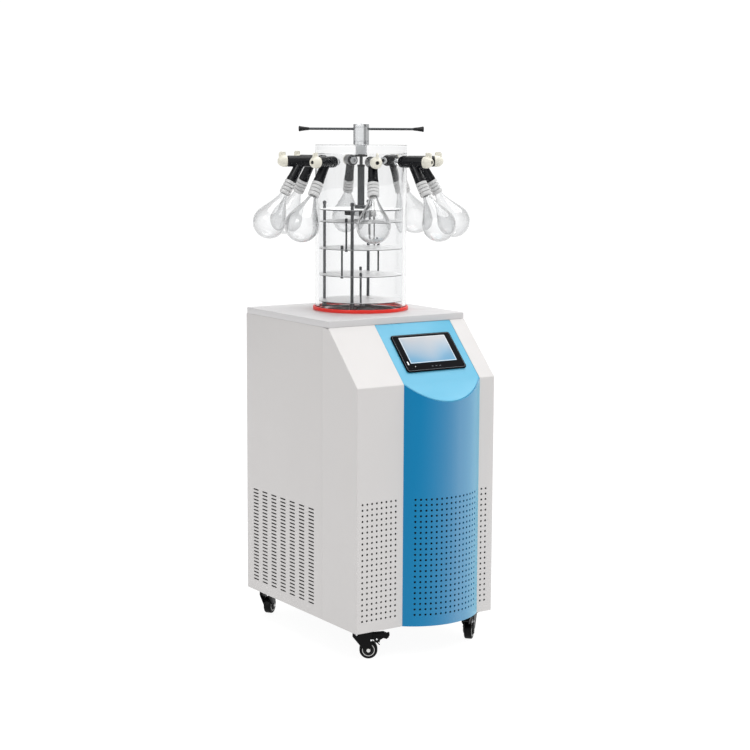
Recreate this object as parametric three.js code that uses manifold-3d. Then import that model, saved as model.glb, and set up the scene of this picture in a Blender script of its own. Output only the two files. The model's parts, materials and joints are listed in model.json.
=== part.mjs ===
// Floor-standing laboratory freeze dryer with a stoppering press and an eight-port manifold.
// Units are millimetres, +Z is up. The machine is laid out with the lower front left corner of
// its cabinet at the origin (X to the right, Y to the back), and the finished group is moved so
// that its origin lies on the floor, under the middle of the bounding box.

import * as THREE from "three";
import { mergeVertices } from "three/addons/utils/BufferGeometryUtils.js";
import Module from "manifold-3d";

const wasm = await Module();
wasm.setup();

// ------------------------------------------------------------------ general clearances
const CLEAR = 0.3; // between two pieces that seat on each other
const OVERSHOOT = 2; // how far a cutting body runs past the face that it cuts
const BITE = 1; // how far two bodies of one piece run into each other where they are joined

// ------------------------------------------------------------------ cabinet
const cabinetWidth = 460;
const cabinetDepth = 595;
const frontHeight = 674; // vertical part of the front
const slopeRise = 149; // height that the sloping console takes
const slopeRun = 146; // and its depth
const wrapPastSlope = 30; // the front shell wraps round the sides this far past the slope
const sheet = 2; // panel thickness
const baseThick = 6;
const worktopThick = 18;
const worktopCorner = 6;

// bulged cover on the front, and the console above it
const coverWidth = 257;
const coverFromRight = 52;
const coverBulge = 49; // how far the middle of the cover stands proud
const coverWall = 3;
const consoleThick = 6;
const airWindowInset = 26; // front sheet left standing round the air window
const airWindowBottom = 26;
const airWindowTop = 365;
const arcSteps = 20;

// touch screen on the console, measured up the slope
const bezelFromCover = 29; // left edge of the cover to the left edge of the screen
const bezelWidth = 200;
const bezelBottom = 37;
const bezelHeight = 127;
const bezelThick = 5;
const bezelCorner = 8;
const displayFromLeft = 22; // border of the screen beside the display
const displayFromBottom = 27; // and below it
const displayWidth = 157;
const displayHeight = 90.5;
const displayThick = 1.4;
const displayCorner = 1.5;

// ventilation slots of the side panels
const slotColumns = 7;
const slotRows = 27;
const slotLength = 30;
const slotHeight = 4.5;
const slotColumnPitch = 51.5;
const slotRowPitch = 10.4;
const slotFromBack = 51.5; // middle of the rear column to the back of the cabinet
const slotFromBottom = 35;

// services on the back panel
const inletWidth = 48;
const inletHeight = 30;
const inletDepth = 24;
const inletX = 110;
const inletZ = 96;
const inletFlange = 5;
const inletRim = 4; // wall round the recess for the plug
const inletFloor = 5;
const bladePitch = 12;
const bladeLength = 12;
const bladeHeight = 6;
const bladeThick = 2;
const portBore = 12.5; // radius of the vacuum port
const portWall = 2;
const portFlange = 20;
const portReach = 34;
const portLip = 3; // thickness of both flanges
const portTaper = 3;
const portSteps = 16;
const portX = 330;
const portZ = 150;

// ------------------------------------------------------------------ drying chamber
const chamberFromRight = 201; // axis of the chamber to the right side of the cabinet
const chamberFromBack = 214; // and to its back
const chamberRadius = 132;
const chamberWall = 10;
const chamberTop = 448; // upper edge of the clear cylinder, above the worktop
const lidThick = 24.7;
const gasketReach = 6; // gasket outside the cylinder
const gasketLedge = 9; // and inside it
const gasketSeat = 4;
const gasketLip = 10;
const gasketChamfer = 2;
const trapGap = 1; // inner edge of the gasket to the rim of the cold trap
const trapRim = 12;
const trapDepth = 243;
const trapWall = 2;
const roundSteps = 36; // facets of the chamber's round pieces

// rack of shelves
const shelfGap = 2; // edge of a shelf to the cylinder
const shelfThick = 2;
const shelfTops = [256, 179, 103, 28]; // above the worktop, the upper shelf first
const postInset = 11; // posts and hanging rods to the edge of the shelves
const postRadius = 4.5;
const postRise = 10.5; // posts above the raised platen
const postBall = 6;
const postSteps = 8;
const postAngles = [-46, 135, -135]; // degrees from the front, towards the right
const rodRadius = 2.7;
const rodNut = 4.5;
const rodNutHeight = 11;
const rodLowerNut = 4;
const rodSteps = 6;
const rodAngles = [-55, -62, -33]; // first rod of the 2nd, 3rd and 4th shelf, its pair opposite
const starThick = 5.4;
const starArm = 12;
const starHub = 20;
const starPad = 9;
const postCollar = 7;

// stoppering press
const platenTop = 291;
const platenThick = 3;
const platenGap = 2; // edge of the platen to the cylinder
const tubeRadius = 10;
const tubeDrop = 31.5; // top of the tube to the top of the cylinder
const tubeCollar = 9; // thicker foot of the tube on the platen
const tubeTaper = 2;
const tubeRing = 11;
const tubeRingHeight = 6;
const footRadius = 19; // hub under the platen
const footDepth = 18.5;
const footArmReach = 52;
const footArmWidth = 11;
const footArmRise = 1; // the arms get thinner by this towards their ends
const screwRadius = 5;
const screwSteps = 16; // facets of screw, tube and gland
const screwStart = 35.5; // lower end of the screw above the platen
const screwGap = 6; // free depth of the tube below the screw
const stemRadius = 5; // guide stem of the upper shelf, which slides in the foot
const stemReach = 13; // how far the stem stands in the foot
const stemBoss = 4;
const pressStroke = 32; // travel of the platen
const glandRadius = 16;
const glandLip = 2; // flange of the gland under the lid
const glandFlangeThick = 9;
const hubStep = 7; // hub wider than the gland
const hubHeight = 59.7;
const hubChamfer = 1.5;
const hubSocket = 24;
const barHeight = 44.5; // bar above the underside of the hub
const barRadius = 3.5;
const barReach = 179.5;
const gripLength = 30;
const gripInner = 4.2;
const gripOuter = 8;
const gripRound = 2;
const barAngle = -33.7;

// ------------------------------------------------------------------ manifold valves and flasks
const portCount = 8;
const firstPort = 22.5; // degrees from the front
const valveRolls = [-2, -8, -5, 0, 0, 7, -5, -5]; // degrees that each valve is turned about its barrel
const portDrop = 22; // ports below the top of the cylinder
const spigotRadius = 8.7;
const spigotShoulder = 3; // step from the spigot to the nose of the barrel
const nutFlats = 19;
const nutThick = 4;
const barrelRadius = 16;
const barrelReach = 82; // end of the barrel to the cylinder
const barrelRounding = 9;
const barrelCrown = 1.5; // half-way the rounding, the barrel is this much slimmer
const branchReach = 41; // start of the branch to the cylinder
const branchTilt = 61; // degrees below horizontal
const branchWall = 4.8;
const branchLength = 65.5;
const socketDepth = 21;
const knobRadius = 16.5;
const knobLength = 27;
const knobHole = 5;
const knobHoleDepth = 10;
const knobHoleFlare = 1;
const knobShoulder = 16; // straight side ends this far from the outer face
const knobCrown = 8;
const knobCrownDrop = 2;
const knobStem = 8;
const knobStemLength = 16;
const finWidth = 4.5;
const finLength = 20;
const finTop = 27;
const finStart = 4;
const finRoot = 4; // how deep the fin stands in the cap
const flaskNeck = 10.2;
const flaskWall = 2.5;
const flaskRadius = 48;
const flaskShoulder = 1.3; // neck widens by this below the cap ring
const flaskDrop = 91; // middle of the bulb below the cap ring
const ringLength = 41;
const ringWall = 6.3;
const ringGroove = 2;
const smallSteps = 10; // facets of valves, knobs and flasks

// ------------------------------------------------------------------ casters
const wheelClear = 32; // top of the wheel to the cabinet
const casterInset = 42;
const casterPlate = 58;
const casterPlateThick = 3;
const wheelRadius = 25;
const wheelWidth = 22;
const wheelHub = 15;
const wheelBoss = 9;
const wheelDish = 3;
const wheelShoulder = 3;
const wheelFacets = 16;
const axleRadius = 4;
const trail = 21;
const forkGap = 1.2; // wheel to fork cheek
const forkCheek = 3;
const forkRoof = 5;
const forkTop = 25;
const forkEye = 10;
const forkNose = 2; // front edge of the hood, behind the edge of the turntable
const forkNoseDrop = 18;
const forkTailDrop = 21;
const axleHead = 1.5;
const pedalPin = 2;
const pedalKnuckle = 4.5;
const pedalX = 25; // hinge of the brake pedal behind the swivel axis
const pedalLength = 50;
const pedalThick = 3.5;
const pedalTilt = -3; // degrees downwards to its end
const pedalToe = 4;
const pedalRib = 3;
const pedalRibAt = 34; // hinge to the cross rib
const pedalWall = 2.5; // hood behind the knuckle, and the webs of the pedal
const pedalWebReach = 45; // hinge to the notch before the rolled end
const pedalWebDepth = 14;

// ------------------------------------------------------------------ derived
const slopeAngle = Math.atan2(slopeRise, slopeRun);
const bodyHeight = frontHeight + slopeRise; // top edge of the panels
const wrapDepth = slopeRun + wrapPastSlope;
const worktopTop = bodyHeight + worktopThick;
const coverRight = cabinetWidth - coverFromRight;
const coverLeft = coverRight - coverWidth;
const coverHalf = coverWidth / 2;
const coverMiddle = coverLeft + coverHalf;
const coverRadius = (coverHalf ** 2 + coverBulge ** 2) / (2 * coverBulge);
const bezelLeft = coverLeft + bezelFromCover;
const displayLeft = bezelLeft + displayFromLeft;
const displayBottom = bezelBottom + displayFromBottom;
const chamberX = cabinetWidth - chamberFromRight;
const chamberY = cabinetDepth - chamberFromBack;
const chamberInside = chamberRadius - chamberWall;
const gasketInner = chamberInside - gasketLedge;
const trapRadius = gasketInner - trapGap - trapRim; // inside of the cold trap
const shelfRadius = chamberInside - shelfGap;
const postCircle = shelfRadius - postInset;
const platenRadius = chamberInside - platenGap;
const platenBottom = platenTop - platenThick;
const footBottom = platenBottom - footDepth;
const stemTop = footBottom + stemReach;
const postTop = platenTop + postRise;
const screwBottom = platenTop + screwStart;
const tubeTop = chamberTop - tubeDrop;
const lidBottom = chamberTop + CLEAR;
const lidTop = lidBottom + lidThick;
const hubBottom = lidTop + CLEAR;
const hubRadius = glandRadius + hubStep;
const portHeight = chamberTop - portDrop;
const barrelEnd = chamberRadius + barrelReach;
const branchStart = chamberRadius + branchReach;
const branchRadius = flaskNeck + branchWall;
const ringRadius = flaskNeck + ringWall;
const casterHeight = 2 * wheelRadius + wheelClear;
const radians = THREE.MathUtils.degToRad;

// ------------------------------------------------------------------ materials
const paint = (color, roughness, metalness = 0) =>
  new THREE.MeshStandardMaterial({ color, roughness, metalness });
const finish = {
  panel: paint(0xd9d6cf, 0.5),
  worktop: paint(0xcfcfcb, 0.45),
  cover: paint(0x2f8bc0, 0.4),
  console: paint(0x7dd0f6, 0.4),
  bezel: paint(0x0d0e10, 0.25),
  display: paint(0xa8bccb, 0.15),
  steel: paint(0xb9bcbe, 0.3, 0.9),
  darkSteel: paint(0x4b4e50, 0.4, 0.8),
  aluminium: paint(0xc9ccce, 0.35, 0.9),
  black: paint(0x17181a, 0.6),
  rubber: paint(0x1b1c1f, 0.7),
  gasket: paint(0xe0452a, 0.6),
  acrylic: new THREE.MeshStandardMaterial({
    color: 0xeef2f3, roughness: 0.05, metalness: 0, transparent: true, opacity: 0.3,
  }),
  glass: new THREE.MeshStandardMaterial({
    color: 0xf4f8f8, roughness: 0.03, metalness: 0, transparent: true, opacity: 0.35,
  }),
  ivory: paint(0xe9e4d0, 0.45),
};

// ------------------------------------------------------------------ geometry helpers
/** Turns a closed geometry into a solid that can be joined and cut. */
function solid(geometry) {
  const bare = geometry.index ? geometry.clone() : mergeVertices(geometry.clone());
  bare.deleteAttribute("normal");
  bare.deleteAttribute("uv");
  const merged = mergeVertices(bare, 1e-4);
  const vertProperties = new Float32Array(merged.attributes.position.array);
  const triVerts = new Uint32Array(merged.index.array);
  return new wasm.Manifold(new wasm.Mesh({ numProp: 3, vertProperties, triVerts }));
}

/** Turns a solid back into a geometry. */
function geometryOf(body) {
  const mesh = body.getMesh();
  const geometry = new THREE.BufferGeometry();
  geometry.setAttribute("position", new THREE.BufferAttribute(new Float32Array(mesh.vertProperties), 3));
  geometry.setIndex(new THREE.BufferAttribute(new Uint32Array(mesh.triVerts), 1));
  geometry.computeVertexNormals();
  return geometry;
}

/** Box between two corners. */
function block([x0, y0, z0], [x1, y1, z1]) {
  const geometry = new THREE.BoxGeometry(x1 - x0, y1 - y0, z1 - z0);
  geometry.translate((x0 + x1) / 2, (y0 + y1) / 2, (z0 + z1) / 2);
  return solid(geometry);
}

/** Solid of revolution about Z, from [radius, height] points in counter-clockwise order. */
function revolve(points, steps, ring = false) {
  const profile = points.map(([r, z]) => new THREE.Vector2(r, z));
  if (ring) {
    profile.push(profile[0].clone());
  }
  const geometry = new THREE.LatheGeometry(profile, steps);
  geometry.rotateX(Math.PI / 2);
  return solid(geometry);
}

/** Upright round bar about Z. */
function rod(radius, z0, z1, steps = smallSteps) {
  return revolve([[0, z0], [radius, z0], [radius, z1], [0, z1]], steps);
}

/** Radius of a faceted bore that clears a round bar however the bar has turned in it. */
function boreRadius(radius, steps = smallSteps) {
  return (radius + CLEAR) / Math.cos(Math.PI / steps);
}

/** Shape from a list of points. */
function outline(points) {
  return new THREE.Shape(points.map(([x, y]) => new THREE.Vector2(x, y)));
}

/** Flat shape in XY, raised from z0 to z1. */
function slab(shape, z0, z1, curveSegments = 4) {
  const geometry = new THREE.ExtrudeGeometry(shape, { depth: z1 - z0, bevelEnabled: false, curveSegments });
  geometry.translate(0, 0, z0);
  return solid(geometry);
}

/** Side profile of [y, z] points, drawn out along X. */
function prismX(points, x0, x1) {
  const geometry = new THREE.ExtrudeGeometry(outline(points), { depth: x1 - x0, bevelEnabled: false });
  const turn = new THREE.Matrix4().makeBasis(
    new THREE.Vector3(0, 1, 0), new THREE.Vector3(0, 0, 1), new THREE.Vector3(1, 0, 0));
  geometry.applyMatrix4(turn);
  geometry.translate(x0, 0, 0);
  return solid(geometry);
}

/** Rectangle with round corners. */
function roundedRectangle(x, y, width, height, corner) {
  const shape = new THREE.Shape();
  shape.moveTo(x + corner, y);
  shape.lineTo(x + width - corner, y);
  shape.absarc(x + width - corner, y + corner, corner, -Math.PI / 2, 0);
  shape.lineTo(x + width, y + height - corner);
  shape.absarc(x + width - corner, y + height - corner, corner, 0, Math.PI / 2);
  shape.lineTo(x + corner, y + height);
  shape.absarc(x + corner, y + height - corner, corner, Math.PI / 2, Math.PI);
  shape.lineTo(x, y + corner);
  shape.absarc(x + corner, y + corner, corner, Math.PI, 1.5 * Math.PI);
  return shape;
}

/** Joins several solids into one. */
function join(...bodies) {
  return bodies.reduce((whole, body) => whole.add(body));
}

/** Cuts several solids out of the first. */
function cut(body, ...tools) {
  return tools.reduce((rest, tool) => rest.subtract(tool), body);
}

/** Moves a solid by a matrix. */
function placed(body, matrix) {
  const geometry = geometryOf(body);
  geometry.applyMatrix4(matrix);
  return solid(geometry);
}

/** Matrix that lays the local Z axis along a direction in the XZ plane, starting at [x, z]. */
function alongXZ(x, z, dx, dz) {
  const axis = new THREE.Vector3(dx, 0, dz).normalize();
  const side = new THREE.Vector3(0, 1, 0);
  return new THREE.Matrix4()
    .makeBasis(new THREE.Vector3().crossVectors(side, axis), side, axis)
    .setPosition(x, 0, z);
}

/** Point on a circle about the chamber axis, at an angle from the front towards the right. */
function onCircle(radius, degrees) {
  const turn = radians(degrees);
  return [radius * Math.sin(turn), -radius * Math.cos(turn)];
}

/** Adds one named piece to a group. */
function piece(group, name, body, material) {
  const mesh = new THREE.Mesh(body.isBufferGeometry ? body : geometryOf(body), material);
  mesh.name = name;
  group.add(mesh);
  return mesh;
}

// ------------------------------------------------------------------ cabinet pieces
/** Height of the sloping console plane at a depth y, lowered by an offset across the plane. */
function slopeHeight(y, offset) {
  return frontHeight + y * Math.tan(slopeAngle) - offset / Math.cos(slopeAngle);
}

/** Everything between two planes parallel to the slope, over a stretch of depth and width. */
function slopeLayer(upper, lower, y0, y1, x0, x1) {
  return prismX([
    [y0, slopeHeight(y0, lower)], [y1, slopeHeight(y1, lower)],
    [y1, slopeHeight(y1, upper)], [y0, slopeHeight(y0, upper)],
  ], x0, x1);
}

/** Plan of the bulged cover: its arc, moved inwards, closed by straight sides at a depth y. */
function bulgePlan(inset, backY) {
  const radius = coverRadius - inset;
  const centreY = coverRadius - coverBulge;
  const half = Math.asin(coverHalf / coverRadius);
  const points = [];
  for (let step = 0; step <= arcSteps; step += 1) {
    const turn = -half + (2 * half * step) / arcSteps;
    points.push([coverMiddle + radius * Math.sin(turn), centreY - radius * Math.cos(turn)]);
  }
  points.push([points[arcSteps][0], backY], [points[0][0], backY]);
  return outline(points);
}

function frontShell() {
  const outside = prismX([
    [0, 0], [wrapDepth, 0], [wrapDepth, bodyHeight], [slopeRun, bodyHeight], [0, frontHeight],
  ], 0, cabinetWidth);
  const past = bodyHeight + OVERSHOOT;
  const slopeEnd = slopeRun + (OVERSHOOT + sheet / Math.cos(slopeAngle)) / Math.tan(slopeAngle);
  const inside = prismX([
    [sheet, -OVERSHOOT], [wrapDepth + OVERSHOOT, -OVERSHOOT], [wrapDepth + OVERSHOOT, past],
    [slopeEnd, past], [sheet, slopeHeight(sheet, sheet)],
  ], sheet, cabinetWidth - sheet);
  const consoleOpening = slopeLayer(
    -OVERSHOOT, consoleThick + CLEAR, -OVERSHOOT, slopeRun + OVERSHOOT, coverLeft, coverRight);
  const airWindow = block(
    [coverLeft + airWindowInset, -OVERSHOOT, airWindowBottom],
    [coverRight - airWindowInset, sheet + OVERSHOOT, airWindowTop]);
  return cut(outside, inside, consoleOpening, airWindow);
}

function frontCover() {
  const back = 2 * coverBulge;
  const outside = slab(bulgePlan(0, back), 0, frontHeight);
  const inside = slab(bulgePlan(coverWall, back + OVERSHOOT), -OVERSHOOT, frontHeight + OVERSHOOT);
  const above = slopeLayer(-2 * frontHeight, 0, -back, back, 0, cabinetWidth);
  const behind = block([0, -CLEAR, -OVERSHOOT], [cabinetWidth, back + 2 * OVERSHOOT, worktopTop]);
  return cut(outside, inside, above, behind);
}

/** Sloping panel between the strips of the shell, which runs down inside the rim of the cover. */
function consolePanel() {
  const column = join(
    slab(bulgePlan(coverWall + CLEAR, slopeRun), 0, worktopTop),
    block([coverLeft + CLEAR, 0, 0], [coverRight - CLEAR, slopeRun, worktopTop]));
  const layer = slopeLayer(0, consoleThick, -2 * coverBulge, slopeRun, 0, cabinetWidth);
  return column.intersect(layer);
}

/** Turns a slab drawn on the slope (x, distance up the slope, height above it) into its place. */
function onSlope(body) {
  const up = new THREE.Vector3(0, Math.cos(slopeAngle), Math.sin(slopeAngle));
  const out = new THREE.Vector3(0, -Math.sin(slopeAngle), Math.cos(slopeAngle));
  const matrix = new THREE.Matrix4()
    .makeBasis(new THREE.Vector3(1, 0, 0), up, out)
    .setPosition(0, 0, frontHeight);
  return placed(body, matrix);
}

function screenBezel() {
  const plate = slab(
    roundedRectangle(bezelLeft, bezelBottom, bezelWidth, bezelHeight, bezelCorner),
    CLEAR, CLEAR + bezelThick);
  const pocket = slab(
    roundedRectangle(displayLeft, displayBottom, displayWidth, displayHeight, displayCorner),
    CLEAR + bezelThick - displayThick - CLEAR, CLEAR + bezelThick + OVERSHOOT);
  return onSlope(cut(plate, pocket));
}

function displayGlass() {
  const top = CLEAR + bezelThick;
  return onSlope(slab(
    roundedRectangle(
      displayLeft + CLEAR, displayBottom + CLEAR,
      displayWidth - 2 * CLEAR, displayHeight - 2 * CLEAR, displayCorner),
    top - displayThick, top));
}

/** Flat side panel standing at x0, with its field of ventilation slots or plain. */
function sidePanel(x0, columns) {
  const panel = block([x0, wrapDepth + CLEAR, 0], [x0 + sheet, cabinetDepth, bodyHeight]);
  const slots = [];
  for (let column = 0; column < columns; column += 1) {
    const middleY = cabinetDepth - slotFromBack - column * slotColumnPitch;
    for (let row = 0; row < slotRows; row += 1) {
      const middleZ = slotFromBottom + row * slotRowPitch;
      slots.push(block(
        [x0 - OVERSHOOT, middleY - slotLength / 2, middleZ - slotHeight / 2],
        [x0 + sheet + OVERSHOOT, middleY + slotLength / 2, middleZ + slotHeight / 2]));
    }
  }
  return cut(panel, ...slots);
}

function backPanel() {
  const y0 = cabinetDepth - sheet;
  const panel = block([sheet + CLEAR, y0, 0], [cabinetWidth - sheet - CLEAR, cabinetDepth, bodyHeight]);
  const inletHole = block(
    [inletX - inletWidth / 2 - CLEAR, y0 - OVERSHOOT, inletZ - inletHeight / 2 - CLEAR],
    [inletX + inletWidth / 2 + CLEAR, cabinetDepth + OVERSHOOT, inletZ + inletHeight / 2 + CLEAR]);
  const hole = rod(boreRadius(portBore + portWall, portSteps), -OVERSHOOT, sheet + OVERSHOOT, portSteps);
  const portHole = backwards(hole, portX, y0, portZ);
  return cut(panel, inletHole, portHole);
}

/** Stands a solid made about Z on the back panel, its Z axis pointing to the back. */
function backwards(body, x, y, z) {
  const matrix = new THREE.Matrix4().makeRotationX(-Math.PI / 2).setPosition(x, y, z);
  return placed(body, matrix);
}

/** Power inlet: a flanged socket body with a recess for the plug and three contact blades. */
function powerInlet() {
  const y0 = cabinetDepth;
  const body = block(
    [inletX - inletWidth / 2, y0 - inletDepth, inletZ - inletHeight / 2],
    [inletX + inletWidth / 2, y0 + CLEAR + BITE, inletZ + inletHeight / 2]);
  const flange = block(
    [inletX - inletWidth / 2 - inletFlange, y0 + CLEAR, inletZ - inletHeight / 2 - inletFlange],
    [inletX + inletWidth / 2 + inletFlange, y0 + CLEAR + sheet, inletZ + inletHeight / 2 + inletFlange]);
  const floorY = y0 - inletDepth + inletFloor;
  const recess = block(
    [inletX - inletWidth / 2 + inletRim, floorY, inletZ - inletHeight / 2 + inletRim],
    [inletX + inletWidth / 2 - inletRim, y0 + 2 * OVERSHOOT, inletZ + inletHeight / 2 - inletRim]);
  const blades = [-bladePitch, 0, bladePitch].map((x) => block(
    [inletX + x - bladeThick / 2, floorY - BITE, inletZ - bladeHeight / 2],
    [inletX + x + bladeThick / 2, floorY + bladeLength, inletZ + bladeHeight / 2]));
  return join(cut(join(body, flange), recess), ...blades);
}

/** Vacuum port: a short pipe with a clamping flange at its end and a collar on the panel. */
function vacuumPort() {
  const outer = portBore + portWall;
  const inside = -4 * sheet;
  return backwards(revolve([
    [portBore, inside], [outer, inside], [outer, CLEAR], [portFlange, CLEAR],
    [portFlange, CLEAR + portLip], [outer, CLEAR + portLip], [outer, portReach - portLip - portTaper],
    [portFlange, portReach - portLip], [portFlange, portReach], [portBore, portReach],
  ], portSteps, true), portX, cabinetDepth, portZ);
}

function worktop() {
  const plan = roundedRectangle(
    0, slopeRun, cabinetWidth, cabinetDepth - slopeRun, worktopCorner);
  const board = slab(plan, bodyHeight + CLEAR, worktopTop);
  const mouthRadius = trapRadius + trapWall + CLEAR;
  const mouth = rod(mouthRadius, bodyHeight - OVERSHOOT, worktopTop + OVERSHOOT, roundSteps)
    .translate([chamberX, chamberY, 0]);
  return cut(board, mouth);
}

function basePlate() {
  const inset = sheet + CLEAR;
  const plate = block([inset, inset, 0], [cabinetWidth - inset, cabinetDepth - inset, baseThick]);
  const pads = casterPlaces().map(({ x, y }) => block(
    [x - casterPlate / 2, y - casterPlate / 2, -casterPlateThick],
    [x + casterPlate / 2, y + casterPlate / 2, BITE]));
  return join(plate, ...pads);
}

// ------------------------------------------------------------------ chamber pieces
function coldTrap() {
  const outer = trapRadius + trapWall;
  return revolve([
    [0, -trapDepth], [outer, -trapDepth], [outer, CLEAR], [trapRadius + trapRim, CLEAR],
    [trapRadius + trapRim, CLEAR + trapWall], [trapRadius, CLEAR + trapWall],
    [trapRadius, -trapDepth + trapWall], [0, -trapDepth + trapWall],
  ], roundSteps);
}

function gasketRing() {
  const lipInner = chamberRadius + CLEAR;
  const gasketOuter = chamberRadius + gasketReach;
  return revolve([
    [gasketInner, CLEAR], [gasketOuter, CLEAR], [gasketOuter, gasketLip - gasketChamfer],
    [gasketOuter - gasketChamfer, gasketLip], [lipInner, gasketLip], [lipInner, gasketSeat],
    [gasketInner, gasketSeat],
  ], roundSteps, true);
}

/** Lays a solid made about Z along +X, at the height of the ports. */
function radially(body) {
  return placed(body, alongXZ(0, portHeight, 1, 0));
}

/** Rotation about Z that turns +X to a port's direction. */
function portTurn(index) {
  return radians(firstPort + (360 / portCount) * index - 90);
}

function chamberTube() {
  const bottom = gasketSeat + CLEAR;
  const tube = revolve([
    [chamberInside, bottom], [chamberRadius, bottom], [chamberRadius, chamberTop],
    [chamberInside, chamberTop],
  ], roundSteps, true);
  const drillStart = chamberInside - 2 * chamberWall;
  const drill = radially(rod(boreRadius(spigotRadius), drillStart, chamberRadius + OVERSHOOT));
  const holes = [];
  for (let index = 0; index < portCount; index += 1) {
    holes.push(drill.rotate([0, 0, THREE.MathUtils.radToDeg(portTurn(index))]));
  }
  return cut(tube, ...holes);
}

function chamberLid() {
  return revolve([
    [glandRadius + CLEAR, lidBottom], [chamberRadius, lidBottom], [chamberRadius, lidTop],
    [glandRadius + CLEAR, lidTop],
  ], roundSteps, true);
}

function lidGland() {
  const bore = boreRadius(screwRadius, screwSteps);
  const flangeTop = lidBottom - CLEAR;
  const glandFlange = glandRadius + glandLip;
  return revolve([
    [bore, flangeTop - glandFlangeThick], [glandFlange, flangeTop - glandFlangeThick],
    [glandFlange, flangeTop], [glandRadius, flangeTop], [glandRadius, lidTop], [bore, lidTop],
  ], screwSteps, true);
}

/** Rack: a four-armed star on the ledge of the gasket, with three posts that end in balls. */
function rackFrame() {
  const z0 = gasketSeat + CLEAR;
  const z1 = z0 + starThick;
  const arm = block([-postCircle, -starArm / 2, z0], [postCircle, starArm / 2, z1]);
  const star = [rod(starHub, z0, z1, 2 * smallSteps), arm.rotate([0, 0, 45]), arm.rotate([0, 0, -45])];
  for (const angle of [-135, -45, 45, 135]) {
    star.push(rod(starPad, z0, z1).translate([...onCircle(postCircle, angle), 0]));
  }
  const shelfBottom = shelfTops[3] - shelfThick;
  const sphere = new THREE.SphereGeometry(postBall, postSteps, postSteps / 2);
  const ball = solid(sphere.rotateX(Math.PI / 2));
  for (const angle of postAngles) {
    const [x, y] = onCircle(postCircle, angle);
    star.push(rod(postCollar, z1 - BITE, shelfBottom - CLEAR).translate([x, y, 0]));
    star.push(rod(postRadius, z1 - BITE, postTop + BITE, postSteps).translate([x, y, 0]));
    star.push(ball.translate([x, y, postTop + postBall - BITE]));
  }
  return join(...star);
}

/** Vertical holes through a plate for the three posts. */
function postHoles(z0, z1) {
  return postAngles.map((angle) =>
    rod(boreRadius(postRadius, postSteps), z0, z1, postSteps)
      .translate([...onCircle(postCircle, angle), 0]));
}

/** Both hanging rods of one shelf, from the nut below it to the nut on the shelf above. */
function hangingRods(level) {
  const lower = shelfTops[level];
  const upper = shelfTops[level - 1];
  return [0, 180].flatMap((half) => {
    const [x, y] = onCircle(postCircle, rodAngles[level - 1] + half);
    const foot = lower - shelfThick - rodLowerNut;
    const seat = upper + CLEAR;
    return [
      rod(rodRadius, foot, seat + rodNutHeight, rodSteps),
      rod(rodNut, seat, seat + rodNutHeight, rodSteps),
      rod(rodNut, foot, lower - shelfThick + BITE, rodSteps),
    ].map((body) => body.translate([x, y, 0]));
  });
}

/** One shelf: a thin disc with post holes, rod holes for the shelf below, and its own rods. */
function shelf(level) {
  const top = shelfTops[level];
  const bottom = top - shelfThick;
  const holes = postHoles(bottom - OVERSHOOT, top + OVERSHOOT);
  if (level < shelfTops.length - 1) {
    for (const half of [0, 180]) {
      const place = onCircle(postCircle, rodAngles[level] + half);
      const hole = rod(boreRadius(rodRadius, rodSteps), bottom - OVERSHOOT, top + OVERSHOOT, rodSteps);
      holes.push(hole.translate([...place, 0]));
    }
  }
  const disc = cut(rod(shelfRadius, bottom, top, roundSteps), ...holes);
  if (level > 0) {
    return join(disc, ...hangingRods(level));
  }
  const boss = revolve([
    [0, top - BITE], [footRadius, top - BITE], [footRadius, top + stemBoss], [stemRadius, top + stemBoss],
    [stemRadius, stemTop], [0, stemTop],
  ], smallSteps);
  return join(disc, boss);
}

/** Platen of the press, with its threaded tube above and the three-armed foot below. */
function pressPlaten() {
  const disc = cut(
    rod(platenRadius, platenBottom, platenTop, roundSteps),
    ...postHoles(platenBottom - OVERSHOOT, platenTop + OVERSHOOT));
  const collarTop = platenTop + tubeCollar;
  const ringBottom = tubeTop - tubeRingHeight;
  const tube = revolve([
    [0, footBottom], [footRadius, footBottom], [footRadius, collarTop],
    [tubeRadius, collarTop + tubeTaper], [tubeRadius, ringBottom], [tubeRing, ringBottom],
    [tubeRing, tubeTop], [0, tubeTop],
  ], screwSteps);
  const arm = prismX([
    [0, footBottom], [footArmReach, footBottom + footArmRise], [footArmReach, platenBottom + BITE],
    [0, platenBottom + BITE],
  ], -footArmWidth / 2, footArmWidth / 2);
  const arms = [60, 180, 300].map((turn) => arm.rotate([0, 0, turn + barAngle]));
  const screwBore = rod(
    boreRadius(screwRadius, screwSteps), screwBottom - screwGap, tubeTop + OVERSHOOT, screwSteps);
  const upperShelfLag = pressStroke / shelfTops.length; // the platen gains this on the upper shelf
  const stemBore = rod(boreRadius(stemRadius), footBottom - OVERSHOOT, stemTop + upperShelfLag + OVERSHOOT);
  return cut(join(disc, tube, ...arms), screwBore, stemBore);
}

function pressScrew() {
  return rod(screwRadius, screwBottom, hubBottom + hubSocket - CLEAR, screwSteps);
}

function handleHub() {
  const top = hubBottom + hubHeight;
  const body = revolve([
    [0, hubBottom], [hubRadius - hubChamfer, hubBottom], [hubRadius, hubBottom + hubChamfer],
    [hubRadius, top - hubChamfer], [hubRadius - hubChamfer, top], [0, top],
  ], 2 * smallSteps);
  const socket = rod(
    boreRadius(screwRadius, screwSteps), hubBottom - OVERSHOOT, hubBottom + hubSocket, screwSteps);
  const crossHole = placed(rod(boreRadius(barRadius), -hubRadius - OVERSHOOT, hubRadius + OVERSHOOT),
    alongXZ(0, hubBottom + barHeight, 1, 0));
  return cut(body, socket, crossHole);
}

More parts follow.
